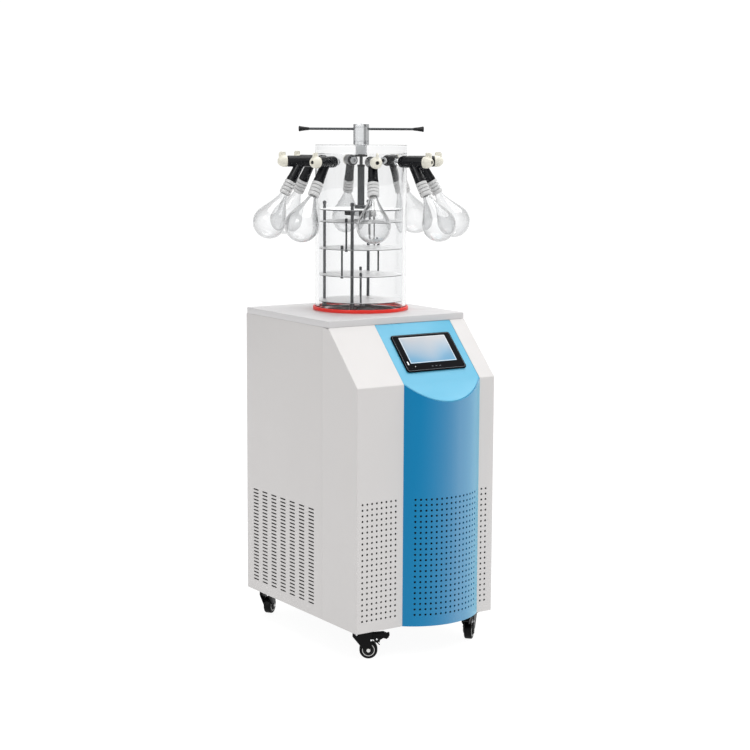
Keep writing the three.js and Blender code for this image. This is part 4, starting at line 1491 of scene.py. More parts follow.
# ------------------------------ console
@dataclass
class Console(Assembly):
    """Sloping console with its touch screen."""

    fold: Fold = Fold()
    bulge: Bulge = Bulge()
    thick: float = 0.006
    cover_wall: float = 0.003
    gap: float = 0.0003
    frame_width: float = 0.2
    frame_height: float = 0.127
    frame_top: float = 0.0053

    @property
    def place(self) -> Matrix:
        """The cabinet's lowest corner, at the front left."""
        return self.layout.corner

    def build(self) -> None:
        """Makes the console and the screen."""
        self._panel()
        self._bezel()
        self._display()
        self._marks()

    def _panel(self) -> None:
        """Console panel: its front edge runs down inside the cover's rim, its face follows the slope."""
        bulge, steps, inset = self.bulge, 40, self.cover_wall + self.gap
        limit = math.acos((bulge.radius - bulge.proud) / (bulge.radius - inset))
        front = [bulge.place(limit * (2 * k / steps - 1), inset) for k in range(steps + 1)]
        left, right = bulge.left + self.gap, bulge.right - self.gap
        form = extruded([(left, 0.0), *front, (right, 0.0), (right, self.fold.run),
                         (left, self.fold.run)], 1.0)
        for vert in form.verts:
            vert.co.z = self.fold.slope_height(vert.co.y, self.thick * (1.0 - vert.co.z))
        self.add("console_slab", soften(form, 0.0014, 3, 28.0), Look.CONSOLE, "console_panel")

    def _on_slope(self, form: Form, x: float, up: float, out: float) -> Form:
        """Puts a mesh on the slope.

        Args:
            form: The mesh.
            x: How far across, from the left side of the cabinet.
            up: How far up the slope.
            out: How far out of it.

        Returns:
            The mesh, in the machine's frame.
        """
        rise, run = math.sin(self.fold.angle), math.cos(self.fold.angle)
        origin = (self.layout.left, self.layout.front, self.layout.bottom + self.fold.upright)
        return moved(form, basis((1, 0, 0), (0, run, rise), (0, -rise, run), origin) @ shift(x, up, out))

    def _bezel(self) -> None:
        """Black frame of the screen, with the pocket for the display and a fine raised rim."""
        frame = Plate(self.frame_width, self.frame_height, 0.008, 0.005, 8, 0.0012, 3).form()
        pocket = moved(Plate(0.157, 0.0905, 0.0015, 0.004, 3).form(), shift(0.022, 0.027, 0.0034))
        frame = self._on_slope(combined(frame, pocket, Operation.CUT), 0.18, 0.037, self.gap)
        self.shop.piece("screen_frame", frame, Look.SCREEN, "screen_bezel", 24.0)
        rim = raised_frame(self.frame_width - 0.006, self.frame_height - 0.006, 0.0062, 0.0006, 0.0003)
        rim = self._on_slope(rim, 0.183, 0.04, self.frame_top)
        self.shop.piece("screen_rim", rim, Look.MARK, "screen_bezel")

    def _display(self) -> None:
        """Display: its lit picture with a pale line round it."""
        pane = self._on_slope(Plate(0.1564, 0.0899, 0.0012, 0.0014, 3, 0.0003).form(), 0.2023, 0.0643, 0.0038)
        self.shop.piece("display_pane", pane, Look.DISPLAY, "display_glass")
        line = self._on_slope(raised_frame(0.1545, 0.088, 0.001, 0.0014, 0.00015), 0.20325, 0.06525, 0.0052)
        self.shop.piece("display_line", line, Look.BORDER, "display_glass")

    def _marks(self) -> None:
        """Lamp and small marks on the black frame."""
        top = self.frame_top
        lamp = self._on_slope(Plate(0.0042, 0.0125, 0.002, 0.0007, 5, 0.0003).form(), 0.19115, 0.0597, top)
        dot = lathe([(0, 0.0005), (0.0009, 0.0005), (0.0013, 0.0002), (0.0013, 0), (0, 0)], 20)
        lamp = merged(lamp, self._on_slope(dot, 0.21215, 0.05325, top))
        self.shop.piece("screen_lamp", lamp, Look.LAMP, "screen_bezel")
        bar = Plate(0.0055, 0.0012, 0.0005, 0.0002, 3)
        bars = [self._on_slope(bar.form(), x, 0.05, top) for x in (0.2655, 0.2785, 0.2915)]
        self.shop.piece("screen_marks", merged(*bars), Look.MARK, "screen_bezel")


# ------------------------------ chamber
@dataclass(frozen=True)
class Ports:
    """Where the valves sit round the cylinder."""

    count: int = 8
    height: float = 0.426
    first: float = 22.5
    rolls: tuple[float, ...] = (-2, -8, -5, 0, 0, 7, -5, -5)

    @property
    def radial(self) -> Matrix:
        """Lays the Z axis outwards along X, at the height of the ports."""
        return along(0.0, self.height, (1, 0))

    def turn(self, port: int) -> Matrix:
        """Turns the X axis to a port's direction about the chamber."""
        return turn(self.first + 360 / self.count * port - 90)

    def roll(self, port: int) -> Matrix:
        """Turns a valve about the axis of its barrel, by as much as it leans on its spigot."""
        lift = shift(0.0, 0.0, self.height)
        return lift @ turn(self.rolls[port], "X") @ lift.inverted()


@dataclass
class Chamber(Assembly):
    """Clear cylinder on its gasket, its lid, and the cold trap below."""

    ports: Ports = Ports()
    steps: int = 128
    outer: float = 0.132

    def build(self) -> None:
        """Makes the pieces."""
        self._trap()
        self._gasket()
        self._tube()
        self._lid()
        self._gland()

    def _trap(self) -> None:
        """Cold trap: a deep pot with a flat rim."""
        profile = [
            (0.0, -0.241), *arc((0.092, -0.233), 0.008, -90, 0, 5), (0.1, -0.003),
            *arc((0.1045, -0.0022), 0.0045, 180, 90, 5), (0.1112, 0.0023), (0.112, 0.0018),
            (0.112, 0.0006), (0.102, 0.0003), *arc((0.092, -0.233), 0.01, 0, -90, 5), (0.0, -0.243),
        ]
        self.add("trap_pot", lathe(profile, 96), Look.STEEL, "cold_trap")

    def _gasket(self) -> None:
        """Gasket: an L-shaped ring with round edges that holds the foot of the cylinder."""
        profile = [
            (0.1136, 0.0003), (0.1374, 0.0003), *arc((0.1372, 0.0012), 0.0009, -45, 0, 2),
            *arc((0.1363, 0.0082), 0.0018, 0, 90, 5), *arc((0.1335, 0.0091), 0.0009, 90, 180, 3),
            (0.1323, 0.0045), (0.1323, 0.004), (0.1136, 0.004), *arc((0.1135, 0.0032), 0.0005, 90, 180, 2),
            (0.113, 0.0008),
        ]
        self.add("gasket_silicone", lathe(profile, self.steps, True), Look.GASKET, "gasket_ring", 40.0)

    def _tube(self) -> None:
        """Clear cylinder, drilled for the valves."""
        inner, outer, low, high, edge = 0.122, self.outer, 0.0043, 0.448, 0.0006
        profile = [
            (inner + edge, low), (outer - edge, low), (outer, low + edge), (outer, high - edge),
            (outer - edge, high), (inner + edge, high), (inner, high - edge), (inner, low + edge),
        ]
        ways = [self.ports.turn(port) @ self.ports.radial for port in range(self.ports.count)]
        drills = copies(rod(0.0091, 0.11, 0.14, 32), ways)
        tube = combined(lathe(profile, self.steps, True), drills, Operation.CUT)
        self.add("tube_acrylic", tube, Look.ACRYLIC, "chamber_tube", 24.0)

    def _lid(self) -> None:
        """Thick clear lid with polished, slightly rounded edges."""
        inner, outer, low, high = 0.0163, self.outer, 0.4483, 0.473
        profile = [
            (inner, low), *arc((outer - 0.0012, low + 0.0012), 0.0012, -90, 0, 3),
            *arc((outer - 0.0016, high - 0.0016), 0.0016, 0, 90, 4), (inner, high),
        ]
        self.add("lid_acrylic", lathe(profile, self.steps, True), Look.ACRYLIC, "chamber_lid", 24.0)

    def _gland(self) -> None:
        """Gland in the lid: a turned collar, with a black seal housing below."""
        collar = [
            (0.0056, 0.4465), (0.0158, 0.4465), (0.016, 0.447), (0.016, 0.4725), (0.0155, 0.473),
            (0.0085, 0.473), (0.0075, 0.4722), (0.0056, 0.4722),
        ]
        seal = [
            (0.0056, 0.439), (0.0168, 0.439), (0.018, 0.4402), (0.018, 0.4465), (0.0172, 0.4478),
            (0.0163, 0.4478), (0.0163, 0.4464), (0.0056, 0.4464),
        ]
        self.add("gland_collar", lathe(collar, 48, True), Look.SCREW, "lid_gland")
        self.add("gland_seal", lathe(seal, 48, True), Look.PLASTIC, "lid_gland")


# ------------------------------ rack and press
@dataclass(frozen=True)
class Posts:
    """The posts that the shelves and the platen are threaded on, as angles from the front."""

    circle: float = 0.109
    angles: tuple[float, ...] = (-46.0, 135.0, -135.0)
    clearance: float = 0.0049

    def places(self, angles: Iterable[float]) -> list[Matrix]:
        """Places on the circle of the posts, at several angles."""
        return [Matrix.Translation(around(self.circle, angle)) for angle in angles]

    def holes(self, angles: Iterable[float], radius: float) -> list[Hole]:
        """Holes on the circle of the posts, at several angles."""
        return [Hole(*around(self.circle, angle).xy, radius, 0.0, 20) for angle in angles]


@dataclass
class Stack(Assembly):
    """What the rack and the press share: discs that the posts pass through."""

    posts: Posts = Posts()
    radius: float = 0.12

    def _disc(self, name: str, node: str, top: float, thick: float, edge: float,
              holes: Sequence[Hole]) -> None:
        """Adds a drilled disc, painted near white for the polished steel's reflection of the room, and a dark
        band of painted shade round its edge.

        Args:
            name: What the names of both pieces start with.
            node: CAD node that they stand for.
            top: Height of the disc's upper face.
            thick: Its thickness.
            edge: Width of its rounded edges.
            holes: Its holes, besides those for the posts.
        """
        drilled = [*self.posts.holes(self.posts.angles, self.posts.clearance), *holes]
        form = soften(thickened(punched_sheet(disc(self.radius), drilled), thick), edge, 2, 60.0)
        self.add(name + "_disc", moved(form, shift(0, 0, top)), Look.SHELF, node)
        # Dark band round the disc: painted shade along its edge.
        low, high, shade_band_radius = top - thick + 0.0002, top - 0.0002, self.radius + 0.0002
        band = [(self.radius - 0.0008, low), (shade_band_radius, low), (shade_band_radius, high), (self.radius - 0.0008, high)]
        self.add(name + "_rim", lathe(band, 128, True), Look.DARK, node)


@dataclass
class Rack(Stack):
    """Shelves that hang from each other, on a star with three posts."""

    tops: tuple[float, ...] = (0.256, 0.179, 0.103, 0.028)
    rods: tuple[float, ...] = (-55.0, -62.0, -33.0)
    thick: float = 0.002
    star_low: float = 0.0058
    star_high: float = 0.0097

    def build(self) -> None:
        """Makes the star, the posts and the shelves."""
        self._star()
        self._posts()
        for level in range(len(self.tops)):
            self._shelf(level)
            if level > 0:
                self._rods(level)

    def _star(self) -> None:
        """Four-armed star on the ledge of the gasket."""
        low, high, reach = self.star_low, self.star_high, self.posts.circle
        star = rod(0.02, low, high, 48)
        for angle in (45.0, -45.0):
            arm = block((-reach, -0.004, low + 0.0002), (reach, 0.004, high - 0.0002))
            star = combined(star, moved(arm, turn(angle)), Operation.JOIN)
        for place in self.posts.places((-135, -45, 45, 135)):
            star = combined(star, moved(rod(0.009, low, high), place), Operation.JOIN)
        self.add("rack_star", soften(star, 0.0005, 2, 40.0), Look.DARK, "rack_frame")

    def _posts(self) -> None:
        """Three posts with a collar at the foot and a ball on top."""
        low, foot = self.star_high, self.tops[-1] - self.thick - 0.0003
        post = lathe([
            (0, low), (0.007, low), (0.007, foot - 0.0008), (0.0062, foot), (0.0045, foot),
            (0.0045, 0.3025), (0, 0.3025),
        ], 24)
        ball = lathe([(0, 0.3015), (0.004, 0.3015), *arc((0, 0.3065), 0.006, -48, 90, 9)[:-1],
                      (0, 0.3125)], 24)
        places = self.posts.places(self.posts.angles)
        self.add("rack_posts", copies(post, places), Look.DARK, "rack_frame")
        self.add("rack_balls", copies(ball, places), Look.DARK, "rack_frame")

    def _pair(self, level: int) -> tuple[float, float]:
        """Angles of the two rods that hang the next shelf from a level."""
        return self.rods[level], self.rods[level] + 180

    def _shelf(self, level: int) -> None:
        """Thin shelf with its holes, the top one with a stem for the press.

        Args:
            level: Its number, from the top.
        """
        node, top = f"shelf_{level + 1}", self.tops[level]
        holes = self.posts.holes(self._pair(level), 0.0031) if level < len(self.rods) else []
        self._disc(node, node, top, self.thick, 0.0004, holes)
        if level == 0:
            stem = lathe([
                (0, top), (0.019, top), (0.019, top + 0.0033), (0.0183, top + 0.004), (0.005, top + 0.004),
                (0.005, 0.2782), (0.0043, 0.279), (0, 0.279),
            ], 40)
            self.add(node + "_stem", stem, Look.SCREW, node)

    def _rods(self, level: int) -> None:
        """Both hanging rods of a shelf, with a nut at each end.

        Args:
            level: The shelf's number, from the top.
        """
        node = f"shelf_{level + 1}"
        lower, upper = self.tops[level] - self.thick, self.tops[level - 1] + 0.0003
        places = self.posts.places(self._pair(level - 1))
        bar = [(0, lower - 0.0045), (0.0021, lower - 0.0045), (0.0027, lower - 0.0039),
               (0.0027, upper + 0.0106),
               (0.0021, upper + 0.0112), (0, upper + 0.0112)]
        nuts = []
        for place in places:
            for low, high in ((upper, upper + 0.0102), (lower - 0.004, lower)):
                nut = [(0, low), (0.004, low), (0.0045, low + 0.0006), (0.0045, high - 0.0006), (0.004, high),
                       (0, high)]
                nuts.append(moved(lathe(nut, 6), place))
        self.add(node + "_rods", copies(lathe(bar, 16), places), Look.DARK, node)
        self.add(node + "_nuts", merged(*nuts), Look.DARK, node)


@dataclass
class Press(Stack):
    """Stoppering press: platen, threaded tube, screw, hub and cross bar."""

    bar_turn: float = -33.7
    hub_low: float = 0.4733
    hub_high: float = 0.5318
    hub_radius: float = 0.023
    bar_rise: float = 0.0445

    @property
    def bar_place(self) -> Matrix:
        """Lays the Z axis along the cross bar."""
        return turn(self.bar_turn) @ along(0.0, self.hub_low + self.bar_rise, (1, 0))

    def build(self) -> None:
        """Makes the pieces."""
        self._platen()
        self._tube()
        self._screw()
        self._hub()
        self._bar()

    def _platen(self) -> None:
        """Round platen with the three-armed foot below."""
        node, low, high = "press_platen", 0.2705, 0.2881
        self._disc("platen", node, 0.291, 0.003, 0.0006, [])
        side = [(0.0, 0.2697), (0.052, low), (0.052, high), (0.0, high)]
        arm = moved(extruded(side, 0.011), basis((0, 1, 0), (0, 0, 1), (1, 0, 0), (-0.0055, 0, 0)))
        arms = copies(soften(arm, 0.0008), [turn(angle + self.bar_turn) for angle in (60, 180, 300)])
        self.add("platen_arms", arms, Look.PLASTIC, node)
        hub = [(0.0056, 0.2695), (0.018, 0.2695), (0.019, low), (0.019, high), (0.0056, high)]
        self.add("platen_hub", lathe(hub, 40, True), Look.ALUMINIUM, node)

    def _tube(self) -> None:
        """Tube with its foot on the platen and a ring at the top."""
        tube = lathe([
            (0.0, 0.2908), (0.019, 0.2908), (0.019, 0.2992), (0.0182, 0.3), (0.0108, 0.3014),
            (0.01, 0.3024), (0.01, 0.4108), (0.0064, 0.4108), (0.0064, 0.3205), (0.0, 0.3205),
        ], 48)
        ring = lathe([
            (0.0064, 0.4105), (0.0104, 0.4105), (0.011, 0.4111), (0.011, 0.4159), (0.0104, 0.4165),
            (0.0064, 0.4165),
        ], 48, True)
        self.add("tube_steel", tube, Look.DARK, "press_platen")
        self.add("tube_ring", ring, Look.PLASTIC, "press_platen")

    def _screw(self) -> None:
        """Screw with a trapezoidal thread of four starts."""
        core, low, high, lead, steps, starts = 0.0042, 0.3285, 0.481, 0.008, 24, 4
        parts = [lathe([(0, 0.3265), (0.0036, 0.3265), (core, 0.3271), (core, 0.4969), (0, 0.497)], 24)]
        count = int((high - low) / lead * steps)
        for start in range(starts):
            parts.append(self._thread(core, low + start * (lead / starts), lead, lead / starts, steps, count))
        self.add("screw_thread", merged(*parts), Look.DARK, "press_screw")

    def _thread(self, core: float, base: float, lead: float, rise: float, steps: int, count: int) -> Form:
        """One start of the thread.

        Args:
            core: Radius of the core.
            base: Height at which it starts.
            lead: How far it climbs in a turn.
            rise: Distance to the next start.
            steps: Steps in a turn.
            count: Steps in the whole thread.

        Returns:
            The thread's flanks and crest, which face outwards.
        """
        crest, root = 0.0049, core - 0.0004
        form = bmesh.new()
        profile = [(root, 0.0), (crest, 0.22 * rise), (crest, 0.5 * rise), (root, 0.72 * rise)]
        verts = [form.verts.new((r, 0, base + z)) for r, z in profile]
        edges = [form.edges.new(pair) for pair in zip(verts, verts[1:])]
        bmesh.ops.spin(
            form, geom=verts + edges, cent=(0, 0, 0), axis=UP, angle=2 * math.pi * count / steps,
            steps=count, dvec=(0, 0, lead / steps), use_merge=False,
        )
        bmesh.ops.recalc_face_normals(form, faces=form.faces)
        for face in form.faces:
            outward = Vector((*face.calc_center_median().xy, 0.0))
            if face.normal.dot(outward) < -0.2 * outward.length:
                face.normal_flip()
        return form

    def _hub(self) -> None:
        """Turned hub with fine grooves, a domed top and a clamp screw."""
        low, high, radius = self.hub_low, self.hub_high, self.hub_radius
        floor = radius - 0.0005
        profile = [(0.0, low + 0.024), (0.0056, low + 0.024), (0.0056, low), (radius - 0.0012, low),
                   (radius, low + 0.0012)]
        for z in (low + 0.008, low + 0.0105, high - 0.0105, high - 0.008):
            profile += [(radius, z - 0.0006), (floor, z - 0.0003), (floor, z + 0.0003), (radius, z + 0.0006)]
        profile += [(radius, high - 0.0018), (floor, high - 0.0006), (radius - 0.0018, high), (0.0, high)]
        hole = moved(rod(0.0038, -0.03, 0.03, 32), self.bar_place)
        hub = combined(lathe(profile, 72), hole, Operation.CUT)
        self.add("hub_turned", hub, Look.ALUMINIUM, "handle_hub", 28.0)
        self.add("hub_screw", moved(button_head(0.0026, 0.0012), shift(0, 0, high)), Look.SCREW, "handle_hub")

    def _bar(self) -> None:
        """Cross bar with a tapered grip at each end."""
        grip = lathe([
            (0, 0.1495), (0.0038, 0.1495), (0.0042, 0.1503), (0.0044, 0.152), (0.0054, 0.162),
            (0.007, 0.1732), *arc((0.0054, 0.1768), 0.0026, -15, 60, 4), (0.0045, 0.1795), (0, 0.1795),
        ], 32)
        self.add("bar_rod", moved(rod(0.0035, -0.151, 0.151), self.bar_place), Look.DARK, "handle_bar")
        grips = copies(grip, [self.bar_place @ end for end in BOTH_ENDS])
        self.add("bar_grips", grips, Look.PLASTIC, "handle_bar")


# ------------------------------ manifold
@dataclass
class Manifold(Assembly):
    """Rubber valves with their knobs and flasks."""

    ports: Ports = Ports()
    branch_start: float = 0.173
    branch_tilt: float = 61.0
    knob_start: float = 0.2143

    @property
    def branch(self) -> Matrix:
        """Lays the Z axis down a valve's branch."""
        tilt = math.radians(self.branch_tilt)
        return along(self.branch_start, self.ports.height, (math.cos(tilt), -math.sin(tilt)))

    def build(self) -> None:
        """Makes one set of pieces and copies it to every port."""
        patterns = {
            ("valve_{}_body", Look.VALVE, "valve_{}"): self._valve(),
            ("valve_{}_nut", Look.SCREW, "valve_{}"): self._nut(),
            ("knob_{}_cap", Look.KNOB, "valve_knob_{}"): self._knob(),
            # Black plug down each knob's hole: painted shade in the hole.
            ("knob_{}_bore", Look.PLASTIC, "valve_knob_{}"): self._knob_bore(),
            ("flask_{}_bulb", Look.GLASS, "flask_{}"): self._bulb(),
            ("flask_{}_ring", Look.RING, "flask_{}"): self._ring(),
        }
        for port in range(self.ports.count):
            place = self.ports.turn(port) @ self.ports.roll(port)
            for (name, look, node), form in patterns.items():
                self.add(name.format(port + 1), moved(form.copy(), place), look, node.format(port + 1))
        for form in patterns.values():
            form.free()

    def _valve(self) -> Form:
        """Moulded body: a round-nosed barrel fused with its sloping branch.

        Returns:
            The body.
        """
        barrel = lathe([
            (0, 0.1322), (0.0105, 0.1322), (0.0118, 0.1325), *arc((0.0085, 0.1401), 0.0075, -60, 0, 6),
            (0.016, 0.2105), *arc((0.0145, 0.2125), 0.0015, 0, 90, 3), (0, 0.214),
        ], 48)
        branch = lathe([
            (0, 0.002), (0.0131, 0.002), (0.0137, 0.038), (0.0143, 0.054), (0.015, 0.056), (0.015, 0.064),
            *arc((0.0138, 0.0643), 0.0012, 0, 90, 3), (0, 0.0655),
        ], 48)
        return fused(merged(moved(barrel, self.ports.radial), moved(branch, self.branch)), 0.0009, 5)

    def _nut(self) -> Form:
        """Spigot through the wall and its nut, with a bore that shows from inside.

        Returns:
            Both.
        """
        start, bore, corner = 0.1167, 0.0052, 0.01097
        spigot = lathe([
            (bore, start), (0.0078, start), (0.0087, 0.1175), (0.0087, 0.134), (0.0, 0.134), (0.0, 0.126),
            (bore, 0.126),
        ], 32)
        nut = lathe([(0.0087, start), (corner, start), (corner, 0.1207), (0.0087, 0.1207)], 6, True)
        nut = moved(soften(nut, 0.0005, 2, 20.0), turn(30))
        return moved(merged(spigot, nut), self.ports.radial)

    def _knob(self) -> Form:
        """Knob: a domed cap with a flared hole, and a pointer fin along its top.

        Returns:
            The knob.
        """
        start = self.knob_start
        end = start + 0.027
        dome = [(0.0165, 0.011), (0.0159, 0.014), (0.0147, 0.017), (0.0131, 0.02), (0.0111, 0.0228),
                (0.0091, 0.025),
                (0.0075, 0.0264), (0.0062, 0.027)]
        cap = lathe([
            (0, start), (0.0152, start), (0.0165, start + 0.0013), *[(r, start + z) for r, z in dome],
            (0.0054, end - 0.0006), (0.005, end - 0.002), (0.0046, end - 0.0098), (0, end - 0.01),
        ], 56)
        side = [(0.004, 0.0), (0.024, 0.0), (0.024, 0.0135), (0.0205, 0.0185), (0.0054, 0.0185),
                (0.004, 0.0171)]
        thick = 0.0045
        fin = soften(extruded([(start + x, z) for x, z in side], thick), 0.0009)
        fin = moved(fin, upright(0, thick / 2, self.ports.height + 0.0085))
        return fused(merged(moved(cap, self.ports.radial), fin), 0.0006, 3)

    def _knob_bore(self) -> Form:
        """Black end of the stem down the hole of a knob, which paints the shade in the hole."""
        face = self.knob_start + 0.0245
        return moved(rod(0.00475, face - 0.006, face), self.ports.radial)

    def _bulb(self) -> Form:
        """Pear-shaped flask with a closed inner wall.

        Returns:
            The flask.
        """
        mouth, ring_end, shoulder, drop, radius, wall = 0.0448, 0.1068, 0.0115, 0.091, 0.0476, 0.0022
        centre = ring_end + drop
        start = -math.degrees(math.asin(radius / math.hypot(drop, shoulder)) - math.atan2(shoulder, drop))
        outer = arc((0, centre), radius, start, 90, 34)[:-1] + [(0.0, centre + radius)]
        inner = [(0.0, centre + radius - wall)] + arc((0, centre), radius - wall, 90, start, 34)[1:]
        neck_out = [(0.0084, mouth), (0.0098, mouth + 0.0004), (0.0102, mouth + 0.0012),
                    (0.0102, ring_end - 0.012),
                    (0.0105, ring_end - 0.005), (shoulder, ring_end + 0.002)]
        neck_in = [(shoulder - wall, ring_end + 0.002), (0.0087, ring_end - 0.005),
                   (0.0084, ring_end - 0.012)]
        bend = self._bend(neck_out[-1], outer[0])
        bend_in = self._bend(inner[-1], neck_in[0])
        return moved(lathe([*neck_out, *bend, *outer, *inner, *bend_in, *neck_in], 72, True), self.branch)

    def _bend(self, first: Point, second: Point, steps: int = 7) -> list[Point]:
        """Points between two ends of a wall, drawn in a little where it leaves the neck.

        Args:
            first: Where the wall starts.
            second: Where it ends.
            steps: Number of steps between them.

        Returns:
            The points, without the ends.
        """
        points = []
        for share in [k / steps for k in range(1, steps)]:
            x = first[0] + (second[0] - first[0]) * share
            z = first[1] + (second[1] - first[1]) * share
            pull = 0.0042 * math.sin(math.pi * share) * (share if first[0] > second[0] else 1 - share)
            points.append((x - pull, z))
        return points

    def _ring(self) -> Form:
        """Cap ring of a flask: four round ribs on a sleeve.

        Returns:
            The ring.
        """
        ribs, top, radius, pitch, bore, edge = 4, 0.0658, 0.0165, 0.0102, 0.0104, 0.0012
        profile = [(bore, top), (radius - 0.0014, top)]
        for rib in range(ribs):
            low = top + rib * pitch
            profile += arc((radius - edge, low + 0.0014), edge, -75, 0, 3)
            profile += arc((radius - edge, low + pitch - 0.003), edge, 0, 75, 3)
            if rib < ribs - 1:
                profile += [(radius - 0.005, low + pitch - 0.0017), (radius - 0.005, low + pitch + 0.0001)]
        profile += [(radius - 0.0016, top + 0.0409), (bore, top + 0.0409)]
        return moved(lathe(profile, 56, True), self.branch)


# ------------------------------ casters
def rivet(radius: float, low: float, edge: float, centre: float) -> Form:
    """Domed rivet head, from its seat to its dome's edge and round the dome's centre."""
    dome = arc((0, centre), radius, 30, 90, 3)[:-1]
    return lathe([(0, low), (radius, low), (radius, edge), *dome, (0, centre + radius)], 20)


@dataclass
class Casters(Assembly):
    """Four swivel casters, the front two with a brake pedal. Each is drawn from its own swivel."""

    trail: float = 0.021
    axle: float = -0.057
    hinge: tuple[float, float] = (0.025, -0.0134)
    turns: tuple[float, ...] = (-33.7, -137.5, 38.0, -33.7)
    wheel: float = 0.02499
    half: float = 0.011

    def build(self) -> None:
        """Makes a set of pieces for every corner."""
        for corner, angle in zip(Corner, self.turns):
            name = corner.value
            place = Matrix.Translation(self.shop.pivot(f"caster_{name}_swivel")) @ turn(angle)
            fork, wheel, pedal = f"caster_fork_{name}", f"caster_wheel_{name}", f"brake_pedal_{name}"
            brake = pedal in self.shop.body_of_node
            pieces = [
                ("fork", self._fork(brake), Look.CASTER, fork),
                ("race", self._race(), Look.SCREW, fork),
                ("axle_caps", self._axle_caps(), Look.CAP, fork),
                ("rivets", self._rivets(brake), Look.STEEL, fork),
                ("tyre", self._tyre(), Look.TYRE, wheel),
                ("rim", self._rim(), Look.PLASTIC, wheel),
                ("trim", self._trim(), Look.CAP, wheel),
            ]
            if brake:
                pieces += [
                    ("pedal", self._pedal(), Look.CASTER, pedal),
                    ("pedal_rivets", self._pedal_rivets(), Look.STEEL, pedal),
                ]
            for kind, form, look, node in pieces:
                self.shop.piece(f"{kind}_{name}", moved(form, place), look, node)

    def _across(self, x: float, z: float) -> Matrix:
        """Lays the Z axis across a caster, at a point of its side view."""
        return basis((1, 0, 0), (0, 0, -1), (0, 1, 0), (x, 0, z))

    def _both(self, form: Form, *points: Point) -> Form:
        """Puts a shape, which is freed, on both sides of a caster at points of its side view."""
        return copies(form, [self._across(x, z) @ end for x, z in points for end in BOTH_ENDS])

    def _fork(self, brake: bool) -> Form:
        """Pressed fork: a hood with two cheeks that taper to the axle, and the turntable on top.

        Args:
            brake: True if it carries the pin of a pedal.

        Returns:
            The fork.
        """
        inner, outer = 0.0122, 0.0152
        eye = [(self.trail + x, self.axle + z) for x, z in arc((0, 0), 0.01, -155, 25, 12)]
        side = [(-0.021, -0.0043), (-0.0228, -0.009), (-0.023, -0.018), *eye, (0.0318, -0.022),
                (0.032, -0.018),
                (0.032, -0.0043)]
        hood = moved(extruded(side, 2 * outer), upright(0, outer))
        slot = block((-0.09, -inner, -0.09), (0.09, inner, -0.0083))
        hood = soften(combined(hood, slot, Operation.CUT), 0.0009, 2, 40.0)
        table = lathe([
            (0, -0.0085), (0.0235, -0.0085), (0.0246, -0.0078), (0.025, -0.0066), (0.0248, -0.0052),
            (0.0, -0.0052),
        ], 48)
        pins = [moved(rod(0.002, -0.0128, 0.0128, 20), self._across(*self.hinge))] if brake else []
        return merged(hood, table, *pins)

    def _race(self) -> Form:
        """Bright ball race between the turntable and the mounting plate.

        Returns:
            The race.
        """
        return lathe([
            (0.0, -0.0053), (0.0235, -0.0053), (0.0242, -0.0046), (0.0235, -0.0038), (0.0216, -0.0034),
            (0.0, -0.0034),
        ], 48)

    def _axle_caps(self) -> Form:
        """Round caps over both ends of the axle.

        Returns:
            Both caps.
        """
        low, radius = 0.0153, 0.0052
        dome = arc((0.0042, 0.0163), 0.001, 0, 80, 3)
        cap = lathe([(0, low), (radius, low), (radius, 0.0161), *dome, (0, 0.0176)], 28)
        return self._both(cap, (self.trail, self.axle))

    def _rivets(self, brake: bool) -> Form:
        """Rivets through each cheek, one of them lower down where there is a brake."""
        second = (0.0287, -0.028) if brake else (0.0125, -0.0125)
        return self._both(rivet(0.0027, 0.015, 0.0156, 0.0143), (-0.0115, -0.0125), second)

    def _mirrored(self, side: list[Point], steps: int) -> Form:
        """Turns a wheel part about the axle, from one half of its profile."""
        profile = side + [(r, -z) for r, z in reversed(side)]
        return moved(lathe(profile, steps, True), self._across(self.trail, self.axle))

    def _tyre(self) -> Form:
        """Tyre with round shoulders and a shallow groove on either side of the tread.

        Returns:
            The tyre.
        """
        radius, half, shoulder = self.wheel, self.half, 0.0038
        floor = radius - 0.0004
        side = [(0.0162, -half + 0.0006), (0.0205, -half)]
        side += arc((radius - shoulder, -half + shoulder), shoulder, -90, -8, 6)
        side += [(radius, -0.0062), (floor, -0.0058), (floor, -0.0054), (radius, -0.005)]
        return self._mirrored(side, 72)

    def _rim(self) -> Form:
        """Moulded wheel centre: a hub, a dished web and the rim under the tyre.

        Returns:
            The wheel centre.
        """
        half = self.half
        side = [
            (0.0043, -half), (0.0085, -half), (0.0092, -half + 0.0008), (0.0098, -half + 0.0028),
            (0.0125, -half + 0.0032), (0.0145, -half + 0.0026), (0.0152, -half + 0.0004),
            (0.0163, -half + 0.0004),
        ]
        return self._mirrored(side, 56)

    def _trim(self) -> Form:
        """Thin pale ring on either face, where the tyre meets the rim."""
        ring = lathe([(0.0157, 0.0102), (0.0171, 0.0102), (0.0171, 0.0111), (0.0157, 0.0111)], 56, True)
        return self._both(ring, (self.trail, self.axle))

    def _hinged(self, outline: Sequence[Point], near: float, far: float) -> Form:
        """Soft-edged plate of a pedal's side view, between two distances from its middle plane."""
        plate = soften(extruded(outline, abs(far - near)), 0.0005, 2, 40.0)
        return moved(moved(plate, upright(0, max(near, far))), shift(self.hinge[0], 0, self.hinge[1]))

